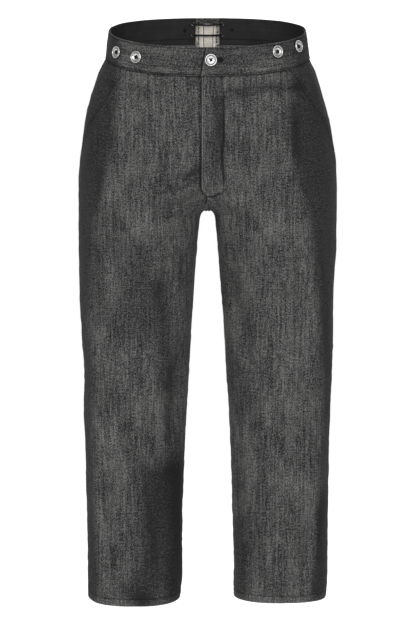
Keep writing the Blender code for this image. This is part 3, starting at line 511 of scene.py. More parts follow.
def folds(side, face, level, x, z, y):
    """How far the large folds push the cloth out. They die away at the side seams and inseams."""
    middle, depth = mid_and_depth(level)
    reach = np.abs(y - middle) / depth
    total = np.zeros_like(x)
    for fold in table(FOLD_COLUMNS, FOLD_ROWS, face):
        start = np.array([fold["x0"], fold["z0"]])
        way = np.array([fold["x1"], fold["z1"]]) - start
        size = np.hypot(*way)
        way /= size
        gone = (x * side - start[0]) * way[0] + (z - start[1]) * way[1]
        off = (x * side - start[0]) * way[1] - (z - start[1]) * way[0]
        ends = np.clip(1 - (2 * gone / size - 1) ** 2, 0, None)
        total += fold["rise"] * ends * np.exp(-((off / fold["spread"]) ** 2))
    return total * ease(reach, *FOLD_SEAM_FADE) * ease(BAND_SEAM - level, *FOLD_BAND_FADE)


def cloth(side, face, level, arc):
    """Points of the surface with its large folds, and the arc's distance from the grain line."""
    x, y, out, grain = trace(level, arc, face)
    middle, depth = mid_and_depth(level)
    tilt = ease(level, TILT_END, TILT_FULL) * (TILT_SLOPE * y + TILT_BOW * y * y)
    drop = HEM_DROP[side] * ease(level, HEM_DROP_START, HEM) * (middle - y) / depth
    z = level + tilt - drop
    push = folds(side, face, level, x, z, y)
    points = np.stack([side * (x + push * out[:, 0]), y + push * out[:, 1], z], axis=1)
    return points, grain


def turn_line(x, z):
    """Distance inwards from the line where the faded front turns to the side."""
    distance = np.empty_like(x)
    for side, rows in TURN_ROWS.items():
        heights, edge = np.array(rows).T
        mine = np.sign(x) == side if side > 0 else x <= 0
        distance[mine] = (np.interp(z, heights, edge) - np.abs(x))[mine]
    return distance


def creases(face, x, z):
    """The finer creases: each a soft line on a bent path, with a ridge along one side."""
    total = np.zeros_like(x)
    t = np.linspace(0, 1, 13)[:, None]
    for crease in table(CREASE_COLUMNS, CREASE_ROWS, face):
        ends = [np.array([crease["x" + k], crease["z" + k]]) for k in "012"]
        path = ends[0] * (1 - t) ** 2 + ends[1] * 2 * t * (1 - t) + ends[2] * t * t
        spread = crease["spread"]
        low, high = path.min(axis=0) - 4 * spread, path.max(axis=0) + 4 * spread
        near = (x > low[0]) & (x < high[0]) & (z > low[1]) & (z < high[1])
        if not near.any():
            continue
        here = np.stack([x[near], z[near]], axis=1)
        best = np.full(len(here), 1e9)
        signed, gone = np.zeros(len(here)), np.zeros(len(here))
        for k in range(len(path) - 1):
            step = path[k + 1] - path[k]
            size = np.hypot(*step)
            step = step / size
            off = here - path[k]
            run = np.clip(off @ step, 0, size)
            away = np.hypot(*(off - run[:, None] * step).T)
            closer = away < best
            best[closer] = away[closer]
            cross = off[:, 0] * step[1] - off[:, 1] * step[0]
            signed[closer] = (np.sign(cross) * away)[closer]
            gone[closer] = ((k + run / size) / (len(path) - 1))[closer]
        body = np.clip(1 - (2 * gone - 1) ** 2, 0, 1) ** 0.7
        width = spread * (0.65 + 0.5 * body)
        ridge = np.exp(-(((signed - RIDGE_OFF * width) / width) ** 2))
        shape = np.exp(-((signed / width) ** 2)) - RIDGE_SHARE * ridge
        total[near] += crease["rise"] * body * shape
    return total


def rough(points, kind):
    cell, rise, seed = kind
    return rise * value_noise(points / np.array(cell), seed)


def relief(side, face, level, points, inset):
    """Height of the finer forms. inset is the distance from the nearest upright seam."""
    x, y, z = points.T
    middle, depth = mid_and_depth(level)
    reach = np.abs(y - middle) / depth
    below = np.clip(BAND_SEAM - level, 0, None)
    above_hem = level - HEM
    soft = ease(below, 0.000, 0.030)
    height = CREASE_STRENGTH * creases(face, x, z) * soft * ease(reach, 0.02, 0.30)
    turn = np.exp(-(((turn_line(x, z) - 0.004) / TURN_SPREAD) ** 2))
    height += TURN_RISE * turn * soft * ease(above_hem, 0.0, 0.06)
    height += rough(points, SWELL) * (0.35 + 0.65 * soft)
    height += rough(points, WAVE)
    height += rough(points, RIPPLE)
    pucker = rough(points, LEVEL_PUCKER)
    height += BAND_PUCKER_RISE * pucker * np.exp(-np.abs(level - BAND_SEAM) / 0.010)
    if face == "front" and side > 0:
        stitched = np.exp(-np.abs(inset - fly_stitch_line(level)) / 0.007)
        height += rough(points, FLY_PUCKER) * stitched * ease(level, LAP_END, FLY_FOOT)
    height += HEM_PUCKER_RISE * pucker * np.exp(-((above_hem - HEM_TURN) / 0.010) ** 2)
    height -= HEM_GROOVE * np.exp(-((above_hem - HEM_STITCH) / 0.0022) ** 2)
    height += rough(points, UPRIGHT_PUCKER) * np.exp(-inset / 0.011)
    return height


def fly_stitch_line(level):
    """How far the fly's stitching runs from the middle, at a level."""
    heights = (-0.262, -0.236, -0.205, -0.160, -0.130, -0.080, -0.0236, 0.0235)
    return np.interp(level, heights, (0.0295, 0.0295, 0.0275, 0.0240, 0.0270, 0.0262, 0.0250, 0.0250))


def seam_inset(arc, total):
    """Distance along the cloth to the nearest upright seam."""
    return np.minimum(np.abs(arc), np.abs(total - arc))


def surface(side, face, level, arc, depth=0.0, grid=True):
    """Points at a depth inside the finished outer surface, with outward directions and grain.

    A grid takes its directions from its own neighbours; loose points get them from steps.
    """
    level, arc, depth = (np.array(a, float) for a in np.broadcast_arrays(level, arc, depth))
    shape = level.shape
    level, arc, depth = level.ravel(), arc.ravel(), depth.ravel()
    total = length(level, face)
    points, grain = cloth(side, face, level, arc)
    if grid:
        whole = points.reshape(shape + (3,))
        normal = np.cross(np.gradient(whole, axis=1), np.gradient(whole, axis=0)).reshape(-1, 3)
    else:
        step = 0.001
        low = np.maximum(arc - step, 0)
        high = np.where(level < CROTCH, np.minimum(arc + step, total), arc + step)
        across = cloth(side, face, level, high)[0] - cloth(side, face, level, low)[0]
        up = cloth(side, face, level + step, arc)[0] - cloth(side, face, level - step, arc)[0]
        normal = np.cross(across, up)
    outward = np.stack([points[:, 0], points[:, 1] - mid_and_depth(level)[0], 0 * level], axis=1)
    outward[:, 0] -= np.where(level < CROTCH, side * LEG_CENTRE, 0.0)
    normal *= np.sign((normal * outward).sum(axis=1))[:, None]
    normal /= np.maximum(np.linalg.norm(normal, axis=1), 1e-12)[:, None]
    push = relief(side, face, level, points, seam_inset(arc, total)) - depth
    points = points + normal * push[:, None]
    return points.reshape(shape + (3,)), normal.reshape(shape + (3,)), grain.reshape(shape)


# Materials

class Wire:
    """A socket of a finish. Sums on wires add Math nodes."""

    def __init__(self, finish, socket):
        self.finish, self.socket = finish, socket

    def math(self, operation, *others):
        return self.finish.node("Math", {"operation": operation}, dict(enumerate((self,) + others)))

    def __add__(self, other):
        return self.math("ADD", other)

    def __sub__(self, other):
        return self.math("SUBTRACT", other)

    def __rsub__(self, other):
        return self.math("MULTIPLY", -1.0) + other

    def __mul__(self, other):
        return self.math("MULTIPLY", other)

    def __pow__(self, other):
        return self.math("POWER", other)

    def sine(self):
        return self.math("SINE")

    def between(self, low, high):
        """0 at low, 1 at high, and clamped outside them."""
        return self.finish.node("MapRange", {}, {0: self, 1: low, 2: high})

    __radd__, __rmul__ = __add__, __mul__


class Finish:
    """A material whose nodes are made by expressions."""

    def __init__(self, name, **values):
        self.material = bpy.data.materials.new(name)
        self.material.use_nodes = True
        self.tree = self.material.node_tree
        self.shader = self.tree.nodes["Principled BSDF"]
        for socket, value in values.items():
            self.set(socket.replace("_", " "), value)

    def set(self, socket, value):
        if isinstance(value, Wire):
            self.tree.links.new(value.socket, self.shader.inputs[socket])
        else:
            self.shader.inputs[socket].default_value = value

    def node(self, kind, settings, values, output=0):
        made = self.tree.nodes.new("ShaderNode" + kind)
        for key, value in settings.items():
            setattr(made, key, value)
        for key, value in values.items():
            if isinstance(value, Wire):
                self.tree.links.new(value.socket, made.inputs[key])
            else:
                made.inputs[key].default_value = value
        return Wire(self, made.outputs[output])

    def cloth(self):
        """The piece's own coordinates along and across the grain, in metres."""
        return self.node("UVMap", {"uv_map": "grain"}, {})

    def place(self):
        return self.node("TexCoord", {}, {}, output=3)

    def axis(self, vector, k):
        return self.node("SeparateXYZ", {}, {0: vector}, output=k)

    def attribute(self, name):
        return self.node("Attribute", {"attribute_name": name}, {}, output=2)

    def noise(self, vector, scale, detail=2.0, roughness=0.5):
        """Noise with its own scale along each axis, in cells a metre."""
        stretched = self.node("VectorMath", {"operation": "MULTIPLY"}, {0: vector, 1: scale})
        return self.node("TexNoise", {}, {"Vector": stretched, "Scale": 1.0, "Detail": detail,
                                          "Roughness": roughness})

    def mix(self, first, second, factor):
        def color(value):
            return value if isinstance(value, Wire) else (*value, 1.0)
        values = {0: factor, 6: color(first), 7: color(second)}
        return self.node("Mix", {"data_type": "RGBA", "clamp_factor": True}, values, output=2)

    def bump(self, height, distance):
        values = {"Height": height, "Distance": distance, "Strength": 1.0}
        self.set("Normal", self.node("Bump", {}, values))


def twill(u, v, pitch=0.0011):
    """The slanting ribs of denim, from 0 to 1."""
    return ((u * 0.86 + v * 0.50) * (2 * math.pi / pitch)).sine() * 0.5 + 0.5


def denim_finish(name, run):
    """Faded black denim with slubs, its tone lifted and lowered by wear, fade, painted shade and painted
    highlights.
    run is 1 where the warp is upright, 0 where it lies down.
    """
    finish = Finish(name, Roughness=0.86, Specular_IOR_Level=0.18)
    cloth_at = finish.cloth()
    u, v = finish.axis(cloth_at, 0), finish.axis(cloth_at, 1)

    def streaks(across, length_scale, detail, seed):
        shift = (seed, seed * 0.7, seed)
        moved = finish.node("VectorMath", {"operation": "ADD"}, {0: cloth_at, 1: shift})
        scale = (across, length_scale, 1.0) if run else (length_scale, across, 1.0)
        return finish.noise(moved, scale, detail)

    fade, wear = finish.attribute("fade"), finish.attribute("wear")
    fine = streaks(600.0, 330.0, 2.0, 0.0)
    broad = streaks(420.0, 46.0, 2.0, 3.7)
    long = streaks(260.0, 8.0, 3.0, 1.9)
    slub = streaks(560.0, 240.0, 1.0, 9.1).between(0.62, 0.74)
    filling = streaks(120.0, 620.0, 2.0, 7.7)
    grain = finish.noise(cloth_at, (760.0, 700.0, 1.0), 2.0)
    mottle = finish.noise(cloth_at, (17.0, 11.0, 1.0), 5.0, 0.60)
    ribs = twill(u, v)
    weave = (fine - 0.5) * 2.0 + (filling - 0.5) * 0.8 + (grain - 0.5) * 2.3
    runs = (broad - 0.5) * 1.0 + (long - 0.5) * 0.80 + (mottle - 0.5) * 1.0
    tone = weave * (fade * 0.42 + 0.58) + runs * (fade * 0.80 + 0.20) + fade * 0.250
    tone = tone + slub * 0.30 + (ribs - 0.5) * 0.08 + 0.035
    tone = tone + wear * ((fine - 0.5) * 0.9 + 0.45)
    color = finish.mix((0.0060, 0.0059, 0.0061), (0.1310, 0.1295, 0.1270), tone.between(0.0, 1.0))
    brown = finish.noise(cloth_at, (9.0, 14.0, 1.0), 3.0).between(0.56, 0.75) * fade
    finish.set("Base Color", finish.mix(color, (0.046, 0.041, 0.036), brown * (0.10 if run else 0.35)))
    finish.set("Roughness", (fine - 0.5) * 0.12 + 0.86)
    finish.bump(ribs * 0.45 + fine * 0.55 + filling * 0.25, 0.00028)
    return finish.material


def wrong_side_finish(name, dark, light):
    """The denim's inside, where the filling shows between fine dark warp ribs."""
    finish = Finish(name, Specular_IOR_Level=0.2)
    cloth_at = finish.cloth()
    u, v = finish.axis(cloth_at, 0), finish.axis(cloth_at, 1)
    ribs = twill(u, v * -1.0, 0.0013)
    slub = finish.noise(cloth_at, (60.0, 700.0, 1.0), 3.0)
    mottle = finish.noise(cloth_at, (40.0, 30.0, 1.0), 3.0)
    tone = ribs * 0.35 + (slub - 0.5) * 0.8 + (mottle - 0.5) * 0.6
    tone = tone + finish.attribute("wear") * 0.6 + 0.45
    finish.set("Base Color", finish.mix(dark, light, tone.between(0.0, 1.1)))
    finish.set("Roughness", (slub - 0.5) * 0.1 + 0.9)
    finish.bump(ribs * 0.6 + slub * 0.5, 0.0003)
    return finish.material


def plain_finish(name, dark, light, weave, bump, speckle=0.5):
    """A plain weave: over and under threads of one size, with soft patches."""
    finish = Finish(name, Specular_IOR_Level=0.2)
    cloth_at = finish.cloth()
    u, v = finish.axis(cloth_at, 0), finish.axis(cloth_at, 1)
    turns = 2 * math.pi / weave
    threads = (u * turns).sine() * (v * turns).sine() * 0.5 + 0.5
    patches = finish.noise(cloth_at, (45.0, 30.0, 1.0), 4.0, 0.6)
    uneven = finish.noise(cloth_at, (300.0, 300.0, 1.0), 2.0)
    tone = threads * 0.25 + (patches - 0.5) * 1.1 + (uneven - 0.5) * speckle + 0.38
    tone = tone + finish.attribute("wear") * 0.6
    finish.set("Base Color", finish.mix(dark, light, tone.between(0.0, 1.0)))
    finish.set("Roughness", (uneven - 0.5) * 0.2 + 0.85)
    finish.bump(threads * 0.6 + uneven * 0.5, bump)
    return finish.material


def metal_finish(name, bright, dull, roughness):
    """Pressed metal with fine scratches, dull where polish never reaches."""
    finish = Finish(name, Metallic=1.0)
    place = finish.place()
    scratches = finish.noise(place, (2600.0, 900.0, 5200.0), 3.0, 0.7)
    stains = finish.noise(place, (420.0, 420.0, 420.0), 4.0, 0.65)
    age = finish.attribute("wear") * 0.75 + (stains - 0.5) * 0.6
    finish.set("Base Color", finish.mix(bright, dull, age.between(0.0, 1.0)))
    finish.set("Roughness", (scratches - 0.5) * 0.25 + age * 0.18 + roughness)
    finish.bump(scratches * 0.3 + stains * 0.7, 0.00006)
    return finish.material


def cord_finish(name, dark, light, pitch, turns, bump):
    """Twisted or braided yarn: strands that wind round a cord's own coordinates."""
    finish = Finish(name, Specular_IOR_Level=0.10)
    way = finish.cloth()
    round_it = finish.axis(way, 0) * (2 * math.pi * turns)
    run = finish.axis(way, 1) * (2 * math.pi / pitch)
    strands = (round_it + run).sine() * (round_it - run).sine() * 0.5 + 0.5
    fuzz = finish.noise(way, (9.0, 2500.0, 1.0), 3.0)
    tone = strands * 0.6 + (fuzz - 0.5) * 0.8 + 0.1
    finish.set("Base Color", finish.mix(dark, light, tone.between(0.0, 1.0)))
    finish.set("Roughness", (fuzz - 0.5) * 0.2 + 0.72)
    finish.bump(strands * 0.8 + fuzz * 0.3, bump)
    return finish.material


DENIM = denim_finish("faded black denim", 1)
BAND_DENIM = denim_finish("band denim", 0)
WRONG_SIDE = wrong_side_finish("denim wrong side", (0.022, 0.0215, 0.021), (0.105, 0.102, 0.098))
ECRU_SIDE = wrong_side_finish("undyed wrong side", (0.20, 0.185, 0.165), (0.80, 0.755, 0.675))
FACING = plain_finish("black facing cotton", (0.0085, 0.0085, 0.0092), (0.022, 0.022, 0.0235),
                      weave=0.0006, bump=0.00010)
BINDING = plain_finish("dark binding", (0.003, 0.003, 0.003), (0.080, 0.077, 0.072),
                       weave=0.0014, bump=0.0005, speckle=4.0)
FRAYED = plain_finish("frayed seam edge", (0.020, 0.018, 0.016), (0.48, 0.45, 0.40),
                      weave=0.0011, bump=0.0005, speckle=3.6)
TAPE = plain_finish("pressed seam allowance", (0.36, 0.34, 0.31), (0.90, 0.86, 0.79),
                    weave=0.0009, bump=0.0003)
BUTTON_METAL = metal_finish("white metal", (0.60, 0.60, 0.595), (0.060, 0.058, 0.055), roughness=0.24)
EYELET_METAL = metal_finish("japanned eyelet metal", (0.30, 0.295, 0.285), (0.010, 0.0095, 0.009),
                            roughness=0.26)
STITCHING = cord_finish("black stitching", (0.0025, 0.0025, 0.0028), (0.014, 0.014, 0.015),
                        pitch=0.0012, turns=1, bump=0.00008)
LACING = cord_finish("black braid", (0.0035, 0.0035, 0.0040), (0.020, 0.020, 0.0215),
                     pitch=0.0024, turns=4, bump=0.00025)


# Making pieces

def finish_mesh(name, verts, faces, materials, uv=None, values=None, kinds=None, angle=50):
    """A mesh object from arrays, with its grain map and its values of wear, fade, painted shade and
    painted highlight.
    """
    mesh = bpy.data.meshes.new(name)
    mesh.from_pydata([tuple(v) for v in verts], [], [tuple(f) for f in faces])
    for made in materials:
        mesh.materials.append(made)
    if uv is not None:
        corner = np.empty(len(mesh.loops), int)
        mesh.loops.foreach_get("vertex_index", corner)
        layer = mesh.uv_layers.new(name="grain")
        layer.data.foreach_set("uv", np.asarray(uv, np.float32)[corner].ravel())
    for key, value in (values or {}).items():
        layer = mesh.attributes.new(key, "FLOAT", "POINT")
        layer.data.foreach_set("value", np.asarray(value, np.float32))
    if kinds is not None:
        mesh.polygons.foreach_set("material_index", np.asarray(kinds, int))
    mesh.shade_smooth()
    mesh.set_sharp_from_angle(angle=math.radians(angle))
    mesh.update()
    thing = bpy.data.objects.new(name, mesh)
    bpy.context.scene.collection.objects.link(thing)
    return thing


def dress(thing, slot, *nodes):
    """Rides on the body and stands for its nodes. slot, the slot that its finish is from, is not used.
    """
    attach(thing, "root")
    if nodes:
        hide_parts(*nodes)
    return thing


def sheet_mesh(name, outer, inner, uv, materials, fade=1.0, wear=0.0, inner_wear=0.0):
    """A closed wall between two grids of points, its inner face in the second material."""
    rows, columns = outer.shape[:2]
    index = np.arange(rows * columns).reshape(rows, columns)
    corners = (index[:-1, :-1], index[:-1, 1:], index[1:, 1:], index[1:, :-1])
    quads = np.stack(corners, axis=-1).reshape(-1, 4)
    under = quads[:, ::-1] + rows * columns
    rim = np.concatenate([index[0, :-1], index[:-1, -1], index[-1, :0:-1], index[:0:-1, 0]])
    then = np.roll(rim, -1)
    side = np.stack([rim, rim + rows * columns, then + rows * columns, then], axis=-1)
    faces = np.concatenate([quads, under, side])
    verts = np.concatenate([outer.reshape(-1, 3), inner.reshape(-1, 3)])
    a, b, c = verts[quads[:, 0]], verts[quads[:, 1]], verts[quads[:, 2]]
    facing = (np.cross(b - a, c - a) * (outer - inner).reshape(-1, 3)[quads[:, 0]]).sum()
    if facing < 0:
        faces = faces[:, ::-1]
    kinds = np.zeros(len(faces))
    kinds[len(quads):len(quads) + len(under)] = len(materials) - 1
    both = np.concatenate([uv.reshape(-1, 2)] * 2)

    def everywhere(*faces_of):
        return np.concatenate([np.broadcast_to(value, (rows, columns)).ravel() for value in faces_of])

    values = {"fade": everywhere(fade, fade), "wear": everywhere(wear, inner_wear)}
    return finish_mesh(name, verts, faces, materials, both, values, kinds)


def rolled(distance):
    """How far an edge sinks as it rolls over, at a distance from it."""
    return EDGE_SINK * np.clip(1 - distance / EDGE_ROLL, 0, 1) ** 2


def painted_shade_and_fade(points, face="front"):
    """1 on the faded front and seat, towards 0 at the sides as painted shade and lower still past the
    turn,
    with the patches of SHADE_ROWS: painted shade and painted light with some real fade.
    """
    x, z = points[..., 0].ravel(), points[..., 2].ravel()
    inwards = turn_line(x, z)
    fade = ease(inwards, -0.012, 0.008) - 0.10 * ease(-inwards, 0.010, 0.040)
    still = np.zeros_like(x)
    place = np.stack([x, z, still], axis=1)
    warped = np.stack([x + rough(place, SHADE_WARP_X), z + rough(place, SHADE_WARP_Z)], axis=1)
    for shade in table(SHADE_COLUMNS, SHADE_ROWS, face):
        start = np.array([shade["x0"], shade["z0"]])
        way = np.array([shade["x1"], shade["z1"]]) - start
        gone = np.clip((warped - start) @ way / (way @ way), 0, 1)
        away = np.hypot(*(warped - start - gone[:, None] * way).T)
        patch = np.exp(-((away / shade["spread"]) ** 2))
        fade += shade["lift"] * patch * ease(inwards, -0.030, 0.0)
    return fade.reshape(points.shape[:-1])


# Panels

def row_levels():
    """Levels of the rows at the side and at the middle, which crowd together at the crotch."""
    start = BAND_SEAM - GAP
    t = np.concatenate([[0, 0.0035, 0.008], np.linspace(0, 1, ROWS_ABOVE + 1)[1:]])
    side = start + (CROTCH - start) * t
    middle = CROTCH + (start - CROTCH) * (1 - t) ** CROWDED_ABOVE
    t = np.linspace(0, 1, ROWS_BELOW + 1)[1:]
    hem_start = HEM + HEM_TURN + 0.003
    side_below = CROTCH + (hem_start - CROTCH) * t
    middle_below = CROTCH + (hem_start - CROTCH) * t**CROWDED_BELOW
    last = HEM + np.array([0.0154, HEM_TURN, HEM_TURN - GAP, HEM_STITCH, 0.0112, 0.0090, 0.0060,
                           0.0030, 0.0009, 0.0])
    return np.concatenate([side, side_below, last]), np.concatenate([middle, middle_below, last])


def lap(level, full):
    return full * ease(level, LAP_END, LAP_START_FADE)


def pocket_arc(level):
    t = np.clip((BAND_SEAM - level) / (BAND_SEAM - POCKET_END), 0, 1)
    return np.maximum(POCKET_TOP * (1 - t**POCKET_POWER), HALF_GAP)


def gusset_half(level):
    return BACK_GAP * np.clip((level - GUSSET_END) / (BAND_SEAM - GUSSET_END), 0, 1)


def dip(level, from_middle):
    near = 1 - ease(from_middle, DIP_FROM, DIP_TO)
    return DIP * near * ease(level, DIP_FADE_END, DIP_FADE_START)


def seam_edge(level):
    return np.full_like(level, -HALF_GAP)


def side_edge(level):
    return np.full_like(level, HALF_GAP)


def left_fly_edge(level):
    return lap(level, LAP_FLY + HALF_GAP) - HALF_GAP


def back_edge(level):
    return -np.maximum(gusset_half(level) + GAP, HALF_GAP)


def panel_grid(face, edge, start):
    """Levels, arcs, and distances from the outer and inner edges, of a panel's fine grid."""
    side_level, middle_level = row_levels()
    head, tail = np.array(EDGE_STEPS), np.array(INNER_STEPS[::-1])
    s = np.linspace(0, 1, MAIN_COLUMNS)[1:-1]
    spread = head[-1] + (USUAL_WIDTH - tail[0] - head[-1]) * s
    weight = (np.concatenate([head, spread, USUAL_WIDTH - tail]) / USUAL_WIDTH) ** 3
    level = side_level[:, None] + (middle_level - side_level)[:, None] * weight
    total = length(level, face)
    first, last = start(level), total + edge(level)
    arc = np.empty_like(level)
    arc[:, :len(head)] = first[:, :len(head)] + head
    arc[:, -len(tail):] = last[:, -len(tail):] - tail
    near, far = first + head[-1], last - tail[0]
    calm = calm_length(level, face) - total
    middle = slice(len(head), -len(tail))
    evenly, late = (far - near + calm)[:, middle] * s, -calm[:, middle] * s**CALM_POWER
    arc[:, middle] = near[:, middle] + evenly + late
    return level, arc, arc - first, last - arc, total


def close_seams(points, inner, first=SEAM_LIP, last=SEAM_LIP, top=SEAM_LIP):
    """Pushes a wall's inner rim past its outer one, so that no light comes through a seam."""
    whole = slice(None)
    for rim, beside, far in (((whole, 0), (whole, 1), first), ((whole, -1), (whole, -2), last),
                             ((0, whole), (1, whole), top)):
        way = points[rim] - points[beside]
        way /= np.linalg.norm(way, axis=1)[:, None]
        inner[rim] += way * np.broadcast_to(far, len(way))[:, None]


def panel_mesh(name, side, face, edge, start, node, fly=False):
    level, arc, outer_edge, inner_edge, total = panel_grid(face, edge, start)
    from_middle = total - arc
    sunk = dip(level, from_middle) if fly and side < 0 else np.zeros_like(level)
    top, bottom = BAND_SEAM - GAP - level, level - HEM
    roll = rolled(outer_edge) + rolled(inner_edge) + rolled(top) + rolled(bottom)
    # Lighter with wear at the edges and hem; painted shade under the band seam and along the hem's
    # stitch groove
    edges = np.exp(-outer_edge / 0.0016) + np.exp(-inner_edge / 0.0016) + 1.3 * np.exp(-bottom / 0.0022)
    wear = np.clip(edges, 0, 1.2) * EDGE_LIGHT - SEAM_PAINTED_SHADE * np.exp(-top / 0.0013)
    wear -= HEM_STITCH_PAINTED_SHADE * np.exp(-((bottom - HEM_STITCH) / 0.0018) ** 2)
    wear += HEM_LIGHT * np.exp(-((bottom - 0.006) / 0.006) ** 2)
    lip = np.full(len(level), SEAM_LIP)
    if fly and side > 0:
        groove = fly_groove(level, from_middle)
        roll = roll + FLY_GROOVE * groove
        roll = roll + 0.0007 * np.exp(-inner_edge / 0.0018) * ease(level, LAP_END, LAP_START_FADE)
        # Painted shade in the fly's stitch groove, a painted highlight on its flanks, and wear and a
        # painted highlight on the lapped edge
        flank = fly_groove(level, from_middle, 0.0042) - groove
        wear += FLANK_PAINTED_HIGHLIGHT * flank - GROOVE_PAINTED_SHADE * groove
        wear += FLY_EDGE_WEAR_AND_HIGHLIGHT * np.exp(-inner_edge / 0.0016) * (level > LAP_END)
    elif fly:
        # Painted shadow on the right front beside the left front's lapped edge
        beside = from_middle - lap(level, LAP_FLY)
        wear -= LAP_PAINTED_SHADOW * np.exp(-((beside / 0.0032) ** 2)) * (level > LAP_END - 0.012)
        lip += FLY_UNDERLAP * (sunk / DIP * (level < FLY_END))[:, -1]
    points, normal, grain = surface(side, face, level, arc, sunk + roll)
    wall = np.where(level <= HEM + HEM_TURN - GAP * 0.9, HEM_WALL, WALL)
    inner = points - normal * np.maximum(wall - 2 * roll, 0.0005)[..., None]
    close_seams(points, inner, last=lip)
    uv = np.stack([grain * side, level], axis=-1)
    thing = sheet_mesh(name, points, inner, uv, (DENIM, WRONG_SIDE), painted_shade_and_fade(points, face), wear)
    return dress(thing, "denim", node)


def fly_groove(level, from_middle, spread=0.0018):
    """1 on the stitched lines of the fly."""
    line = np.exp(-((from_middle - fly_stitch_line(level)) / spread) ** 2)
    line *= ease(level, FLY_FOOT - 0.002, FLY_FOOT + 0.002)
    foot = np.exp(-((level - fly_foot(from_middle)) / spread) ** 2) * ease(from_middle, 0.032, 0.029)
    return np.clip(line + foot * (from_middle > -0.009), 0, 1)


def fly_foot(from_middle):
    """The level of the slanting stitches at the foot of the fly."""
    drop = np.interp(from_middle, (-0.006, 0.0103, 0.0190, 0.0290), (0.0132, 0.0120, 0.0070, 0.0))
    return FLY_FOOT - drop


def panels():
    for side, half in SIDES.items():
        edge = left_fly_edge if side > 0 else seam_edge
        panel_mesh("denim_front_" + half, side, "front", edge, pocket_arc, "front_" + half, fly=True)
        panel_mesh("denim_back_" + half, side, "back", back_edge, side_edge, "back_" + half)


# Band and facing

def band_arcs(side, level, keep_front=None):
    """Arcs of the band's columns at one level, on the front and on the back as far as the gap."""
    front_total, back_total = length([level], "front")[0], length([level], "back")[0]
    height = (level - BAND_SEAM) / (BAND_TOP - BAND_SEAM)
    lap_here = LAP_SEAM + (LAP_TOP - LAP_SEAM) * max(height, 0)
    begin = -lap_here if side > 0 else -BAND_UNDER
    if keep_front is not None:
        begin = keep_front
    lead, rest = np.array(EDGE_STEPS), 0.006
    evenly = np.linspace(begin + rest, front_total, BAND_COLUMNS["front"])
    front = front_total - np.concatenate([begin + lead, evenly])
    end = back_total - BACK_GAP - GAP
    evenly = np.linspace(0, end - rest, BAND_COLUMNS["back"])[1:]
    return front, np.concatenate([evenly, end - lead[::-1]])


def band_grid(side, levels, depth, roll_at=None, keep_front=None):
    """Points, directions and cloth coordinates of a strip that follows the band at a depth."""
    parts = []
    for k, face in enumerate(("front", "back")):
        arc = np.array([band_arcs(side, level, keep_front)[k] for level in levels])
        level = np.broadcast_to(levels[:, None], arc.shape)
        total = length(level, face)
        sunk = dip(level, total - arc) if side < 0 and face == "front" else 0.0
        roll = 0.0 if roll_at is None else roll_at(level)
        points, normal, _ = surface(side, face, level, arc, depth + sunk + roll)
        run = total - arc if face == "front" else BAND_BACK_RUN + arc
        parts.append((points, normal, np.stack([run * side, level], axis=-1)))
    return tuple(np.concatenate([a, b], axis=1) for a, b in zip(*parts))


def strip_rows(top, bottom, count):
    """Rows of a strip, closer together at both edges."""
    lead, rest = np.array([0, 0.0009, 0.0022, 0.0040]), 0.0062
    evenly = np.linspace(top - rest, bottom + rest, count)
    return np.concatenate([top - lead, evenly, bottom + lead[::-1]])


def waistband(side):
    levels = strip_rows(BAND_TOP, BAND_SEAM, 14)
    stitches = (BAND_TOP - BAND_STITCH, BAND_SEAM + BAND_STITCH)

    def roll_at(level):
        groove = sum(np.exp(-((level - s) / 0.0013) ** 2) for s in stitches)
        return rolled(BAND_TOP - level) * 1.3 + rolled(level - BAND_SEAM) + 0.00030 * groove

    points, normal, uv = band_grid(side, levels, -BAND_OUT, roll_at)
    roll = roll_at(levels)[:, None, None]
    inner = points - normal * (BAND_OUT + BAND_IN - 1.5 * np.minimum(roll, 0.0004))
    close_seams(points, inner, first=0.0, top=0.0)
    level = uv[..., 1]
    # Lighter with wear at the top; painted shade at the seam below and in the stitch grooves
    wear = BAND_TOP_LIGHT * np.exp(-(BAND_TOP - level) / 0.0016)
    wear -= BAND_SEAM_PAINTED_SHADE * np.exp(-(level - BAND_SEAM) / 0.0012)
    wear -= BAND_STITCH_PAINTED_SHADE * sum(np.exp(-((level - s) / 0.0012) ** 2) for s in stitches)
    height = (level - BAND_SEAM) / (BAND_TOP - BAND_SEAM)
    from_lap = uv[..., 0] + LAP_SEAM + (LAP_TOP - LAP_SEAM) * height
    if side > 0:
        # Wear and a painted highlight on the left band's lapped end
        wear += BAND_LAP_WEAR_AND_HIGHLIGHT * np.exp(-from_lap / 0.0014)
    else:
        # Painted shadow on the right band beside the left band's lap
        wear -= LAP_PAINTED_SHADOW * np.exp(-((from_lap / 0.0026) ** 2))
        line = np.exp(-(((from_lap + 0.0042) / 0.0014) ** 2))
        wear += BAND_LINE_LIGHT * line * ease(height, 0.45, 0.75)
    half, fade = SIDES[side], painted_shade_and_fade(points)
    thing = sheet_mesh("denim_band_" + half, points, inner, uv, (BAND_DENIM, FACING), fade, wear)
    return dress(thing, "denim", "waistband_" + half)


def band_facing(side):
    levels = strip_rows(BAND_TOP - FACING_SET_DOWN, BAND_SEAM + FACING_SET_UP, 26)
    keep_front = FLY_WIDTH + 0.0015 if side > 0 else -0.010
    points, normal, uv = band_grid(side, levels, FACING_OUT, None, keep_front)
    level = uv[..., 1]
    line = np.exp(-((level - FACING_STITCH) / 0.0015) ** 2)
    folds_in = value_noise(np.stack([uv[..., 0] / 0.060, level / 0.0045, 0 * level], axis=-1), 12)
    inner = points - normal * (FACING_IN - FACING_OUT - 0.00025 * line + 0.00010 * folds_in)[..., None]
    half = SIDES[side]
    # Painted shade along the facing's stitch groove, and a tone that rises and falls with its small
    # folds
    thing = sheet_mesh("lining_band_" + half, points, inner, uv, (FACING, FACING),
                       inner_wear=0.22 * folds_in - 0.55 * line)
    return dress(thing, "facing_cotton", "waistband_facing_" + half)


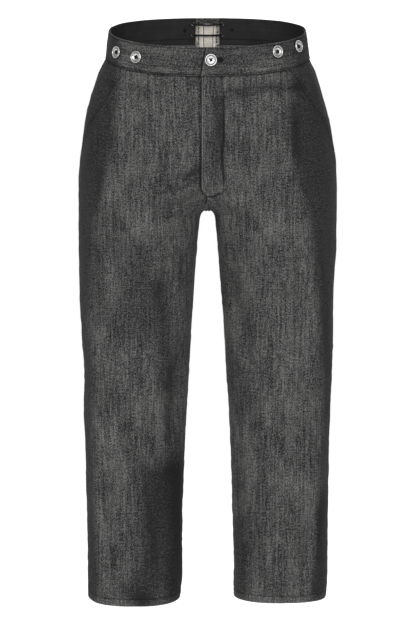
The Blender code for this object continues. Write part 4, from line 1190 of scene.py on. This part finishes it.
# Fly and pocket pieces

def fly_strips():
    """The facing inside the wearer's left front, and the strip under it that carries buttons."""
    levels = np.linspace(BAND_SEAM - 2 * GAP, FLY_END, 70)[:, None]
    for name, node, out, thick in (
        ("fly_strip_left", "fly_facing", FLY_FACING_OUT, FLY_FACING_IN - FLY_FACING_OUT),
        ("fly_strip_right", "fly_shield", DIP, WALL),
    ):
        level = np.broadcast_to(levels, (len(levels), 14))
        total = length(level, "front")
        end = 0.003 - left_fly_edge(level) if node == "fly_facing" else np.full_like(level, GAP)
        t = np.linspace(0, 1, 14)
        arc = total - (FLY_WIDTH * (1 - t) + end * t)
        points, normal, grain = surface(1, "front", level, arc, out)
        inner = points - normal * thick
        uv = np.stack([grain, level], axis=-1)
        dress(sheet_mesh(name, points, inner, uv, (DENIM, WRONG_SIDE)), "denim", node)


def pocket_cloth(side):
    """The cloth in the pocket's mouth. It slopes in from the side seam and under the front."""
    levels = np.linspace(BAND_SEAM - GAP, POCKET_END + 0.004, 60)[:, None]
    mouth = pocket_arc(levels)
    shown = np.maximum(mouth - HALF_GAP, POCKET_LEAST)
    t = np.linspace(0, 1, 26)
    under = POCKET_UNDER * np.linspace(0, 1, 7)[1:]
    arc = np.concatenate([HALF_GAP + shown * t, HALF_GAP + shown + under], axis=1)
    level = np.broadcast_to(levels, arc.shape)
    inside = ease(arc - mouth, -POCKET_SLOPE, 0)
    points, normal, grain = surface(side, "front", level, arc, POCKET_BEARER_OUT * inside)
    inner = points - normal * WALL
    half, fade = SIDES[side], painted_shade_and_fade(points)
    # Painted shade in the pocket's mouth, darkest at and under the front's edge
    wear = -0.5 * np.exp(-np.clip(mouth - arc, 0, None) / 0.004)
    uv = np.stack([grain * side + 0.31, level], axis=-1)
    thing = sheet_mesh("pocket_cloth_" + half, points, inner, uv, (DENIM, WRONG_SIDE), fade, wear)
    return dress(thing, "denim", "pocket_bearer_" + half)


# Gusset: each inner seam's offset, and the way that it wanders
GUSSET_SEAMS = ((-0.0105, 1), (0.0070, -0.3))

# Pressed strips on its inside: their offsets from the middle, and their thickness
ALLOWANCE_COLUMNS = ("name", "finish", "near", "far", "thick")
ALLOWANCE_ROWS = (
    ("gusset_seam_tape_", TAPE, 0.0118, 0.0142, 0.0009),
    ("gusset_frayed_strip_", FRAYED, 0.0143, 0.0199, 0.0008),
)
ALLOWANCE_DEPTH = 0.0013
FIBRES = 70
FIBRE_RADIUS = 0.00016


def gusset_points(level, offset, depth):
    """Points of the gusset at an offset from the middle, in metres."""
    level, offset = np.broadcast_arrays(np.asarray(level, float), np.asarray(offset, float))
    return surface(1, "back", level, length(level, "back") + offset, depth)


def gusset():
    rows = np.linspace(BAND_TOP - BINDING_HEIGHT - GAP, GUSSET_END + 0.006, 56)[:, None]
    across = np.linspace(-1, 1, 97)
    half = np.where(rows < BAND_SEAM, gusset_half(rows), BACK_GAP)
    offset = half * across
    points, normal, _ = gusset_points(rows, offset, 0.0001)
    wander = 0.0006 * value_noise(np.stack([rows * 160, rows * 0, rows * 0], axis=-1), 8)
    wander = wander + 0.0012 * ease(rows, 0.002, -0.012)
    seam, beside = 0.0, 0.0
    for at, way in GUSSET_SEAMS:
        off = offset - at - wander * way
        seam = seam + np.exp(-(off / 0.00075) ** 2)
        beside = beside + np.exp(-((off - np.sign(at) * 0.0022) / 0.0012) ** 2)
    inner = points - normal * (0.0010 + 0.0005 * beside - 0.0004 * seam)[..., None]
    level = np.broadcast_to(rows, offset.shape)
    uv = np.stack([offset, level], axis=-1)
    # Its inside is darker along its two seams and lighter on the swells beside them
    thing = sheet_mesh("gusset_wedge", points, inner, uv, (DENIM, ECRU_SIDE), 0.8, -0.1,
                       inner_wear=0.55 * beside - 1.9 * seam)
    dress(thing, "gusset_cotton", "back_gusset")

    t = np.array([0, 0.05, 0.15, 0.3, 0.5, 0.7, 0.85, 0.95, 1])[:, None]
    rows = BAND_TOP - BINDING_SET_DOWN - (BINDING_HEIGHT - BINDING_SET_DOWN) * t
    offset = np.broadcast_to(BACK_GAP * np.linspace(-1, 1, 41), (len(rows), 41))
    sink = 0.0006 * np.abs(2 * t - 1) ** 12
    level = np.broadcast_to(rows, offset.shape)
    points, normal, _ = gusset_points(level, offset, -0.0004 + sink)
    inner = points - normal * (0.0022 - 2 * sink)[..., None]
    uv = np.stack([offset, level], axis=-1)
    thing = sheet_mesh("gusset_edge_binding", points, inner, uv, (BINDING, BINDING))
    dress(thing, "binding_cotton", "gusset_binding")


def gusset_allowances():
    """Pressed seam allowances on the gusset's inside, each with a frayed outer strip."""
    draw = random.Random(11)
    fibres = []
    rows = np.linspace(BAND_TOP - BINDING_HEIGHT - 0.0008, -0.072, 40)
    for side, half in SIDES.items():
        narrow = np.where(rows < BAND_SEAM, gusset_half(rows), BACK_GAP) / BACK_GAP
        for strip in table(ALLOWANCE_COLUMNS, ALLOWANCE_ROWS):
            t = np.linspace(0, 1, 9)
            ragged = 0.0005 * value_noise(np.stack([rows * 260, rows * 0 + side, rows * 0], axis=1), 7)
            start, stop = strip["near"] * narrow + ragged, strip["far"] * narrow - 0.6 * ragged
            offset = side * (start[:, None] * (1 - t) + stop[:, None] * t)
            level = np.broadcast_to(rows[:, None], offset.shape)
            points, normal, _ = gusset_points(level, offset, ALLOWANCE_DEPTH)
            swell = 0.35 + 0.65 * (1 - np.abs(2 * t - 1) ** 4)
            inner = points - normal * (strip["thick"] * swell)[None, :, None]
            uv = np.stack([offset, level], axis=-1)
            thing = sheet_mesh(strip["name"] + half, points, inner, uv, (strip["finish"],) * 2)
            dress(thing, "gusset_cotton")
        for _ in range(FIBRES):
            level = draw.uniform(BAND_TOP - BINDING_HEIGHT - 0.002, -0.060)
            width = BACK_GAP if level > BAND_SEAM else float(gusset_half(level))
            offset = side * (0.0149 if draw.random() < 0.6 else 0.0198) / BACK_GAP * width
            arc = length([level], "back") + offset
            start, normal, _ = surface(1, "back", [level], arc, 0.0018, grid=False)
            lean, rise = draw.uniform(-0.0022, 0.0022), draw.uniform(-0.002, 0.002)
            lift = draw.uniform(0.0002, 0.0009)
            tip = start[0] + np.array([lean, 0, rise]) - normal[0] * lift
            middle = (start[0] + tip) / 2 - normal[0] * lift * 0.6
            fibres.append(np.array([start[0], middle, tip]))
    dress(tubes("gusset_frayed_threads", fibres, FIBRE_RADIUS, 3, FRAYED), "gusset_cotton")


# Cords and stitches

def tube_arrays(path, radius, sides, squash=1.0):
    """Rings of points round a path, with coordinates round and along it."""
    path = np.asarray(path, float)
    tangent = np.gradient(path, axis=0)
    tangent /= np.linalg.norm(tangent, axis=1)[:, None]
    up = np.array([0.0, 0, 1]) if abs(tangent[0][2]) < 0.9 else np.array([1.0, 0, 0])
    first = np.cross(tangent[0], up)
    frames = []
    for way in tangent:
        first = first - way * (first @ way)
        first /= np.linalg.norm(first)
        frames.append((first, np.cross(way, first)))
    angle = np.linspace(0, 2 * math.pi, sides, endpoint=False)
    rings = np.array([p + radius * (np.cos(angle)[:, None] * a + squash * np.sin(angle)[:, None] * b)
                      for p, (a, b) in zip(path, frames)])
    run = np.concatenate([[0], np.cumsum(np.linalg.norm(np.diff(path, axis=0), axis=1))])
    uv = np.stack(np.broadcast_arrays(angle / (2 * math.pi), run[:, None]), axis=-1)
    return rings.reshape(-1, 3), uv.reshape(-1, 2)


def tube_faces(count, sides):
    index = np.arange(count * sides).reshape(count, sides)
    nxt = np.roll(index, -1, axis=1)
    quads = np.stack([index[:-1], nxt[:-1], nxt[1:], index[1:]], axis=-1).reshape(-1, 4)
    return [tuple(q) for q in quads] + [tuple(index[0][::-1]), tuple(index[-1])]


def tubes(name, paths, radius, sides, material, squash=1.0):
    """One mesh of many tubes, each closed at its ends."""
    verts, uvs, faces, base = [], [], [], 0
    for path in paths:
        points, uv = tube_arrays(path, radius, sides, squash)
        verts.append(points)
        uvs.append(uv)
        faces += [tuple(i + base for i in face) for face in tube_faces(len(path), sides)]
        base += len(points)
    verts = np.concatenate(verts)
    thing = finish_mesh(name, verts, faces, (material,), np.concatenate(uvs),
                        {"wear": np.zeros(len(verts)), "fade": np.zeros(len(verts))}, angle=70)
    fix = bmesh.new()
    fix.from_mesh(thing.data)
    bmesh.ops.recalc_face_normals(fix, faces=fix.faces)
    fix.to_mesh(thing.data)
    fix.free()
    return thing


def stitches_on(points, normal, pitch=0.0033, long=0.0026):
    """Short paths of thread that bow over the cloth along a line."""
    run = np.concatenate([[0], np.cumsum(np.linalg.norm(np.diff(points, axis=0), axis=1))])
    starts = np.arange(pitch / 2, run[-1] - long, pitch)

    def at(where, lift):
        spot = np.stack([np.interp(where, run, points[:, k]) for k in range(3)], axis=1)
        out = np.stack([np.interp(where, run, normal[:, k]) for k in range(3)], axis=1)
        return spot + out * lift
    rows = [at(starts + long * t, lift) for t, lift in ((0, -0.0003), (0.2, 0.00012), (0.5, 0.0002),
                                                         (0.8, 0.00012), (1, -0.0003))]
    return list(np.stack(rows, axis=1))


def stitch_line(side, face, level, arc, depth=0.0):
    level, arc, depth = np.broadcast_arrays(*(np.asarray(a, float) for a in (level, arc, depth)))
    points, normal, _ = surface(side, face, level, arc, depth, grid=False)
    return stitches_on(points, normal)


def stitching():
    lines = {"band": [], "fly": [], "pockets": [], "hems": [], "sides": [], "seat": []}
    legs = np.linspace(CROTCH - 0.012, HEM + 0.004, 500)
    body = np.linspace(-0.128, CROTCH + 0.008, 130)
    for side in SIDES:
        for level in (BAND_TOP - BAND_STITCH, BAND_SEAM + BAND_STITCH):
            front_arc, back_arc = band_arcs(side, level)
            front_arc = front_arc[front_arc < front_arc[0] - 0.0025]
            total = length([level], "front")[0]
            if side < 0:
                front_arc = front_arc[front_arc < total + 0.001]
            sunk = dip(np.full_like(front_arc, level), total - front_arc) if side < 0 else 0.0
            lines["band"] += stitch_line(side, "front", level, front_arc, -BAND_OUT + sunk)
            lines["band"] += stitch_line(side, "back", level, back_arc[:-4], -BAND_OUT)
        level = np.linspace(BAND_SEAM - 0.003, POCKET_END + 0.012, 110)
        for inset in POCKET_STITCHES:
            keep = level[pocket_arc(level) > 0.006]
            lines["pockets"] += stitch_line(side, "front", keep, pocket_arc(keep) + inset)
        level = HEM + HEM_STITCH
        for face in ("front", "back"):
            total = length([level], face)[0]
            lines["hems"] += stitch_line(side, face, level, np.linspace(0.0006, total - 0.0006, 160))
        level = np.linspace(BAND_SEAM - 0.003, HEM + 0.004, 700)
        for inset in SEAM_STITCHES:
            lines["sides"] += stitch_line(side, "back", level, inset)
            lines["sides"] += stitch_line(side, "back", legs, length(legs, "back") - inset)
    for inset in SEAM_STITCHES:
        lines["seat"] += stitch_line(1, "back", body, length(body, "back") - inset)
    level = np.linspace(BAND_SEAM - 0.003, FLY_FOOT, 170)
    total = length(level, "front")
    sunk = FLY_GROOVE - 0.0002
    lines["fly"] += stitch_line(1, "front", level, total - fly_stitch_line(level), sunk)
    edge = total + left_fly_edge(level) - FLY_EDGE_STITCH
    lines["fly"] += stitch_line(1, "front", level[:-2], edge[:-2])
    foot = np.linspace(0.029, -0.002, 24)
    level = fly_foot(foot)
    lines["fly"] += stitch_line(1, "front", level, length(level, "front") - foot, sunk)
    level = np.linspace(-0.252, CROTCH + 0.004, 24)
    lines["fly"] += stitch_line(1, "front", level, length(level, "front") - EDGE_STITCH)
    for name, paths in lines.items():
        dress(tubes("stitching_" + name, paths, STITCH_RADIUS, 4, STITCHING), "black_thread")


def facing_stitches():
    paths = []
    for side in SIDES:
        _, back_arc = band_arcs(side, FACING_STITCH)
        level = np.full_like(back_arc, FACING_STITCH)
        points, normal, _ = surface(side, "back", level, back_arc, FACING_IN, grid=False)
        paths += stitches_on(points, -normal)
    thing = tubes("stitching_facing", paths, FACING_STITCH_RADIUS, 4, STITCHING)
    dress(thing, "black_thread")


# Buttons, eyelets and lace

def deselect():
    if bpy.context.object and bpy.context.object.mode != "OBJECT":
        bpy.ops.object.mode_set(mode="OBJECT")
    bpy.ops.object.select_all(action="DESELECT")


def raised(name, profile, segments, closed, material, wear_at):
    """Extrudes a circle through a profile of (radius, height) pairs, as on a lathe."""
    deselect()
    fill = "NOTHING" if closed else "NGON"
    radius, height = profile[0]
    bpy.ops.mesh.primitive_circle_add(vertices=segments, radius=radius, fill_type=fill,
                                      location=(0, 0, height))
    thing = bpy.context.object
    bpy.ops.object.mode_set(mode="EDIT")
    bpy.ops.mesh.select_all(action="SELECT")
    extrude = bpy.ops.mesh.extrude_edges_move if closed else bpy.ops.mesh.extrude_region_move
    for (r0, h0), (r1, h1) in zip(profile, profile[1:]):
        extrude(TRANSFORM_OT_translate={"value": (0, 0, h1 - h0)})
        if r1 != r0:
            bpy.ops.transform.resize(value=(r1 / r0, r1 / r0, 1), center_override=(0, 0, h1))
    if closed:
        bpy.ops.mesh.select_all(action="SELECT")
        bpy.ops.mesh.region_to_loop()
        bpy.ops.mesh.bridge_edge_loops()
    bpy.ops.mesh.select_all(action="SELECT")
    bpy.ops.mesh.remove_doubles(threshold=0.000005)
    bpy.ops.mesh.normals_make_consistent(inside=False)
    bpy.ops.object.mode_set(mode="OBJECT")
    bpy.ops.object.transform_apply(location=True, rotation=True, scale=True)
    bpy.ops.object.shade_smooth_by_angle(angle=math.radians(38))
    thing.name = thing.data.name = name
    thing.data.materials.append(material)
    layer = thing.data.attributes.new("wear", "FLOAT", "POINT")
    for vertex, value in zip(thing.data.vertices, layer.data):
        value.value = wear_at(math.hypot(vertex.co.x, vertex.co.y))
    return thing


def drill(thing, centres, radius):
    """Holes square through a piece, at centres in its own frame."""
    for centre in centres:
        deselect()
        bpy.ops.mesh.primitive_cylinder_add(vertices=20, radius=radius, depth=BIT_DEPTH,
                                            location=(*centre, 0))
        bit = bpy.context.object
        cut_holes(thing, (bit,))
        bpy.data.objects.remove(bit, do_unlink=True)


BUTTON_SHAPE = (
    (0.0090, 0.0001), (0.0097, 0.0003), (0.0100, 0.0009), (0.0100, 0.0018), (0.0099, 0.0023),
    (0.0096, 0.0027), (0.0091, 0.0029), (0.0086, 0.0028), (0.0082, 0.0024), (0.0078, 0.0018),
    (0.0074, 0.00155), (0.0070, 0.0017), (0.0066, 0.0022), (0.0062, 0.00235), (0.0057, 0.0022),
    (0.0048, 0.0017), (0.0036, 0.0013), (0.0020, 0.00115),
)
EYELET_SHAPE = (
    (0.0020, -0.0019), (0.0020, 0.0006), (0.0022, 0.0012), (0.0027, 0.0015), (0.0034, 0.0014),
    (0.0039, 0.0011), (0.0040, 0.00095), (0.0025, 0.00088), (0.0025, -0.0022), (0.0040, -0.00245),
    (0.0039, -0.0027), (0.0032, -0.0029), (0.0024, -0.0027),
)
BIT_DEPTH = 0.02
SHALLOW_BIT = 0.012
BUTTON_HOLES = (math.pi / 4, math.pi * 3 / 4, math.pi * 5 / 4, math.pi * 7 / 4)
BUTTON_HOLES_AT = 0.0026
BUTTON_HOLE = 0.00095
STRAND_STEP = 0.00058
SHANK_THREADS = 5
SHANK_RADIUS = 0.0009
KNOT_THREADS = 16


def place_at(side, face, x, level, depth):
    """A point of the finished cloth at x, with its outward direction, as a frame."""
    xs, _, arcs = ring([level], face)
    arc = np.interp(-x, -xs[0], arcs[0])
    return cloth_frame(side, face, level, arc, depth)


def cloth_frame(side, face, level, arc, depth):
    points, normal, _ = surface(side, face, [level], [arc], depth, grid=False)
    outward = Vector(normal[0]).normalized()
    across = Vector((0, 0, 1)).cross(outward).normalized()
    turned = Matrix((across, outward.cross(across), outward)).transposed().to_4x4()
    turned.translation = Vector(points[0])
    return turned


def copy_to(pattern, name, where):
    """A copy with its own mesh, its place in the mesh."""
    thing = pattern.copy()
    thing.data = pattern.data.copy()
    thing.name = thing.data.name = name
    thing.data.transform(where)
    bpy.context.scene.collection.objects.link(thing)
    return thing


def button_threads(name, where, inside, draw):
    """Four strands each way over the button's holes, a shank to the cloth, and a knot inside."""
    paths = []
    for turn in (math.pi / 4, -math.pi / 4):
        way = Vector((math.cos(turn), math.sin(turn), 0))
        across = Vector((-way.y, way.x, 0))
        for k in range(4):
            shift = across * (k - 1.5) * STRAND_STEP
            lift = 0.00165 + 0.00022 * (k in (1, 2)) + (0.0004 if turn < 0 else 0)
            bow = ((-0.0033, lift - 0.0004), (-0.0015, lift + 0.0003), (0, lift + 0.0004),
                   (0.0015, lift + 0.0003), (0.0033, lift - 0.0004))
            spots = ((-0.0034, -0.0003), *bow, (0.0034, -0.0003))
            paths.append([where @ (way * r + shift + Vector((0, 0, h))) for r, h in spots])
    for k in range(SHANK_THREADS):
        a = k * 2 * math.pi / SHANK_THREADS
        foot = Vector((SHANK_RADIUS * math.cos(a), SHANK_RADIUS * math.sin(a), 0))
        heights = (-inside - 0.0004, 0.0002, 0.0010)
        paths.append([where @ (foot + Vector((0, 0, h))) for h in heights])
    for k in range(KNOT_THREADS):
        a, r = draw.uniform(0, 6.28), draw.uniform(0.0020, 0.0034)
        end = Vector((r * math.cos(a), r * math.sin(a), 0))
        middle = end * -0.1 + Vector((0, 0, -inside - 0.0009 - 0.00006 * k))
        lift = Vector((0, 0, -inside - 0.0002))
        paths.append([where @ spot for spot in (end * -1 + lift, middle, end + lift)])
    thing = tubes("button_thread_" + name, [np.array(p) for p in paths], STITCH_RADIUS, 6, STITCHING)
    return dress(thing, "black_thread", "thread_" + name)


def buttons():
    """Returns the waist button's frame."""
    def dull(radius):
        groove = math.exp(-(((radius - 0.0073) / 0.0014) ** 2))
        return min(1.0, groove * 0.95 + 0.5 * math.exp(-((radius / BUTTON_HOLES_AT) ** 2)))

    pattern = raised("button_pattern", BUTTON_SHAPE, 64, False, BUTTON_METAL, dull)
    centres = [(BUTTON_HOLES_AT * math.cos(a), BUTTON_HOLES_AT * math.sin(a)) for a in BUTTON_HOLES]
    drill(pattern, centres, BUTTON_HOLE)
    draw = random.Random(5)
    first = None
    for button in table(BUTTON_COLUMNS, BUTTON_ROWS):
        where = place_at(button["side"], button["face"], button["x"], button["level"], -BAND_OUT - GAP)
        spin = Matrix.Rotation(draw.uniform(-0.35, 0.35), 4, "Z")
        thing = copy_to(pattern, "metal_button_" + button["name"], where @ spin)
        dress(thing, "button_metal", "button_" + button["name"])
        inside = (DIP if button["name"] == "waist" else FACING_IN) + BAND_OUT + GAP
        button_threads(button["name"], where @ spin, inside, draw)
        first = first or where
    bpy.data.objects.remove(pattern, do_unlink=True)
    return first


def cut_holes(thing, cutters):
    for bit in cutters:
        deselect()
        thing.select_set(True)
        bpy.context.view_layer.objects.active = thing
        hole = thing.modifiers.new("hole", "BOOLEAN")
        hole.operation, hole.object = "DIFFERENCE", bit
        bpy.ops.object.modifier_apply(modifier=hole.name)


def cylinder_bit(where, radius, depth):
    deselect()
    bpy.ops.mesh.primitive_cylinder_add(vertices=24, radius=radius, depth=depth)
    bit = bpy.context.object
    bit.matrix_world = where
    return bit


def buttonhole(band, where):
    """A keyhole from the button's post towards the wearer's left, with close black stitches."""
    reach = BUTTONHOLE_END - BUTTON_ROWS[0][3]
    half, wide, pitch = 0.0011, 0.0031, 0.00050
    eye = cylinder_bit(where, 0.0026, SHALLOW_BIT)
    deselect()
    bpy.ops.mesh.primitive_cube_add(size=1)
    slot = bpy.context.object
    stretched = Matrix.Diagonal((reach, 2 * half, SHALLOW_BIT, 1))
    slot.matrix_world = where @ Matrix.Translation((reach / 2, 0, 0)) @ stretched
    bpy.context.view_layer.update()
    cut_holes(band, (eye, slot))
    for bit in (eye, slot):
        bpy.data.objects.remove(bit, do_unlink=True)
    paths = []

    def bar(x0, y0, x1, y1):
        ways = ((0, -0.0007), (0.06, 0.0003), (0.5, 0.0006), (0.92, 0.0003), (1, -0.0004))
        spots = [(x0 + (x1 - x0) * t, y0 + (y1 - y0) * t, h - GAP) for t, h in ways]
        return np.array([where @ Vector(spot) for spot in spots])

    for k in range(int((reach - 0.0030) / pitch)):
        x = 0.0026 + k * pitch
        jog = 0.00018 * math.sin(k * 2.3)
        for way in (-1, 1):
            paths.append(bar(x, way * half, x, way * (half + wide + jog)))
    for k in range(17):
        a = -math.pi / 2 + math.pi * k / 16
        x, y = reach - 0.0006, 0.0
        c, s = math.cos(a), math.sin(a)
        paths.append(bar(x + half * c, y + half * s, x + (half + wide * 0.9) * c, y + (half + wide) * s))
    for k in range(26):
        a = math.pi * 0.22 + (2 * math.pi - 0.44 * math.pi) * k / 25
        c, s = math.cos(a), math.sin(a)
        paths.append(bar(0.0025 * c, 0.0025 * s, 0.0055 * c, 0.0055 * s))
    dress(tubes("buttonhole_stitching", paths, 0.00029, 6, STITCHING), "black_thread")


def eyelet_frame(side, level):
    arc = length([level], "back")[0] - BACK_GAP - GAP - EYELET_FROM_EDGE
    return cloth_frame(side, "back", level, arc, 0.0)


def eyelets(bands, facings):
    def dull(radius):
        return 0.0 if 0.0021 <= radius <= 0.0026 else 1.5

    pattern = raised("eyelet_pattern", EYELET_SHAPE, 36, True, EYELET_METAL, dull)
    for side, half in SIDES.items():
        for level, row in zip(EYELET_LEVELS, ("upper", "lower")):
            where = eyelet_frame(side, level)
            thing = copy_to(pattern, "lace_eyelet_" + half + "_" + row, where)
            dress(thing, "eyelet_metal", "eyelet_" + half + "_" + row)
            bit = cylinder_bit(where, EYELET_HOLE, BIT_DEPTH)
            bpy.context.view_layer.update()
            cut_holes(bands[side], (bit,))
            cut_holes(facings[side], (bit,))
            bpy.data.objects.remove(bit, do_unlink=True)
    bpy.data.objects.remove(pattern, do_unlink=True)


def smooth_route(points, per_span):
    """A Catmull-Rom curve through the route's points."""
    p = np.array([points[0]] + list(points) + [points[-1]])
    route = []
    for i in range(1, len(p) - 2):
        for t in np.linspace(0, 1, per_span, endpoint=False):
            a, b, c, d = p[i - 1], p[i], p[i + 1], p[i + 2]
            bend = (2 * a - 5 * b + 4 * c - d) * t**2 + (3 * b - a - 3 * c + d) * t**3
            route.append(b + 0.5 * ((c - a) * t + bend))
    route.append(p[-2])
    return np.array(route)


def lace():
    """One lace through the four eyelets: two bars inside, one run outside, its ends knotted."""
    frames = {(half, row): eyelet_frame(side, level) for side, half in SIDES.items()
              for level, row in zip(EYELET_LEVELS, ("upper", "lower"))}

    def at(half, row, x, up, out):
        return frames[half, row] @ Vector((x, up, out))

    def through(half, row, way):
        return [at(half, row, 0, 0, h) for h in (0.0031, 0.0017, -0.0038, -0.0051)[::way]]

    far, near = 0.0058, -0.0078
    upper, lower = frames["right", "upper"], frames["right", "lower"]
    halfway = (upper.translation.z - lower.translation.z) / 2
    bar = []
    for row, sag in (("upper", 0.0016), ("lower", 0.0010)):
        right, left = at("right", row, 0, 0, near), at("left", row, 0, 0, near)
        bar.append([right.lerp(left, t) - Vector((0, 0, 4 * sag * t * (1 - t)))
                    for t in (0.15, 0.5, 0.85)])
    points = [
        at("right", "upper", 0, -halfway + LACE_TO_KNOT, KNOT_OUT),
        at("right", "upper", 0, -0.0026, far),
        *through("right", "upper", 1), *bar[0], *through("left", "upper", -1),
        at("left", "upper", 0, -0.0030, far - 0.0008), at("left", "lower", 0, 0.0030, far - 0.0008),
        *through("left", "lower", 1), *bar[1][::-1], *through("right", "lower", -1),
        at("right", "lower", 0, 0.0026, far),
        at("right", "lower", 0, halfway - LACE_TO_KNOT, KNOT_OUT),
    ]
    cord = tubes("laced_cord", [smooth_route(points, 8)], LACE_RADIUS, 14, LACING)
    dress(cord, "black_lace", "lace")

    knot = upper.copy()
    knot.translation = upper @ Vector((0, -halfway, KNOT_OUT))
    loops = []
    for k in range(KNOT_STEPS + 1):
        a = 2 * math.pi * k / KNOT_STEPS
        wide = 2 + math.cos(3 * a)
        across, up, out = KNOT_SIZE
        loops.append(knot @ Vector((across * wide * math.cos(2 * a), up * wide * math.sin(2 * a),
                                    out * math.sin(3 * a))))
    paths = [np.array(loops)]
    for side in (-1, 1):
        ends = [knot @ Vector((side * x, up, out)) for x, up, out in LACE_END]
        paths.append(smooth_route(ends, 7))
    thing = tubes("laced_knot", paths, LACE_RADIUS * 0.86, 12, LACING)
    dress(thing, "black_lace", "lace_knot")


# Cloth cuts: piece, width and length of the cut in metres, its area where it isn't a rectangle,
# how it is held, what carries it
CUT_COLUMNS = ("piece", "width", "length", "area", "held", "rests_on")
CUT_ROWS = (
    ("denim_front_right", 0.372, 0.936, 0.256, "hung", ["denim_band_right"]),
    ("denim_front_left", 0.372, 0.936, 0.256, "hung", ["denim_band_left"]),
    ("denim_back_right", 0.372, 0.936, 0.272, "hung", ["denim_band_right"]),
    ("denim_back_left", 0.372, 0.936, 0.272, "hung", ["denim_band_left"]),
    ("denim_band_right", 0.476, 0.048, None, "stretched", ["lining_band_right"]),
    ("denim_band_left", 0.456, 0.048, None, "stretched", ["lining_band_left"]),
    ("lining_band_right", 0.448, 0.0455, None, "stretched", ["denim_band_right"]),
    ("lining_band_left", 0.412, 0.0455, None, "stretched", ["denim_band_left"]),
    ("pocket_cloth_right", 0.110, 0.178, 0.0144, "hung", ["denim_front_right"]),
    ("pocket_cloth_left", 0.110, 0.178, 0.0144, "hung", ["denim_front_left"]),
    ("fly_strip_left", 0.0325, 0.208, None, "hung", ["denim_front_left"]),
    ("fly_strip_right", 0.0265, 0.208, None, "hung", ["denim_front_right"]),
    ("gusset_wedge", 0.041, 0.127, 0.0037, "stretched", ["denim_back_right", "denim_back_left"]),
    ("gusset_edge_binding", 0.041, 0.0125, None, "folded", ["gusset_wedge"]),
    ("gusset_seam_tape_right", 0.010, 0.088, 0.00027, "laid", ["gusset_wedge"]),
    ("gusset_seam_tape_left", 0.010, 0.088, 0.00027, "laid", ["gusset_wedge"]),
    ("gusset_frayed_strip_right", 0.010, 0.088, 0.00045, "laid", ["gusset_wedge"]),
    ("gusset_frayed_strip_left", 0.010, 0.088, 0.00045, "laid", ["gusset_wedge"]),
)


def declare_sheets():
    for cut in table(CUT_COLUMNS, CUT_ROWS):
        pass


# Studio: the sky is bright in front, behind and above, and dim at both sides
SKY_STRENGTH = 1.45
SKY_STOPS = ((0.30, 1.0), (0.85, 0.22))
FLOOR_LEVEL = HEM - 0.60
LAMP_COLUMNS = ("name", "place", "target", "size", "power")
LAMP_ROWS = (
    ("key", (-0.90, -3.2, 0.85), (0.0, 0.0, -0.40), (0.9, 1.2), 40.0),
    ("fill", (1.00, -3.2, 0.45), (0.0, 0.0, -0.50), (0.9, 1.2), 24.0),
    ("back", (0.3, 3.0, 1.6), (0.0, 0.0, -0.40), (1.2, 1.4), 40.0),
)
CAMERA_AWAY = 4.0
CAMERA_DOWN = math.radians(7.4)
CAMERA_TARGET = (0.0009, 0.0, -0.458)
SENSOR = 36.0
SEEN_HEIGHT = 1.0733


def studio():
    deselect()
    bpy.ops.mesh.primitive_circle_add(vertices=96, radius=60, fill_type="NGON",
                                      location=(0, 0, FLOOR_LEVEL))
    floor = bpy.context.object
    floor.name = "studio_floor"
    paint = Finish("pale floor", Roughness=0.9, Specular_IOR_Level=0.1)
    spots = paint.noise(paint.place(), (3.0, 3.0, 3.0), 2.0)
    paint.set("Base Color", paint.mix((0.90, 0.90, 0.90), (0.93, 0.93, 0.93), spots))
    floor.data.materials.append(paint.material)

    world = bpy.data.worlds.new("studio")
    bpy.context.scene.world = world
    world.use_nodes = True
    tree = world.node_tree
    way = tree.nodes.new("ShaderNodeTexCoord")
    parts = tree.nodes.new("ShaderNodeSeparateXYZ")
    sideways = tree.nodes.new("ShaderNodeMath")
    sideways.operation = "ABSOLUTE"
    ramp = tree.nodes.new("ShaderNodeValToRGB")
    for stop, (spot, value) in zip((0, 1), SKY_STOPS):
        ramp.color_ramp.elements[stop].position = spot
        ramp.color_ramp.elements[stop].color = (value, value, value, 1.0)
    tree.links.new(way.outputs["Generated"], parts.inputs[0])
    tree.links.new(parts.outputs["X"], sideways.inputs[0])
    tree.links.new(sideways.outputs[0], ramp.inputs[0])
    sky = tree.nodes["Background"]
    tree.links.new(ramp.outputs[0], sky.inputs["Color"])
    sky.inputs["Strength"].default_value = SKY_STRENGTH
    for row in table(LAMP_COLUMNS, LAMP_ROWS):
        lamp = bpy.data.lights.new(row["name"], "AREA")
        lamp.shape, lamp.energy = "RECTANGLE", row["power"]
        lamp.size, lamp.size_y = row["size"]
        thing = bpy.data.objects.new(row["name"], lamp)
        thing.location = row["place"]
        way = Vector(row["target"]) - Vector(row["place"])
        thing.rotation_euler = way.to_track_quat("-Z", "Y").to_euler()
        bpy.context.scene.collection.objects.link(thing)

    seen = bpy.data.cameras.new("camera")
    seen.sensor_width, seen.lens = SENSOR, SENSOR * CAMERA_AWAY / SEEN_HEIGHT
    eye = bpy.data.objects.new("camera", seen)
    back = Vector((0, math.cos(CAMERA_DOWN), -math.sin(CAMERA_DOWN)))
    eye.location = Vector(CAMERA_TARGET) - CAMERA_AWAY * back
    eye.rotation_euler = (math.pi / 2 - CAMERA_DOWN, 0, 0)
    bpy.context.scene.collection.objects.link(eye)
    bpy.context.scene.camera = eye
    bpy.context.scene.view_settings.view_transform = "Standard"


def main():
    studio()
    panels()
    bands, facings = {}, {}
    for side in SIDES:
        bands[side] = waistband(side)
        facings[side] = band_facing(side)
        pocket_cloth(side)
    fly_strips()
    gusset()
    gusset_allowances()
    stitching()
    facing_stitches()
    buttonhole(bands[1], buttons())
    eyelets(bands, facings)
    lace()
    declare_sheets()


main()
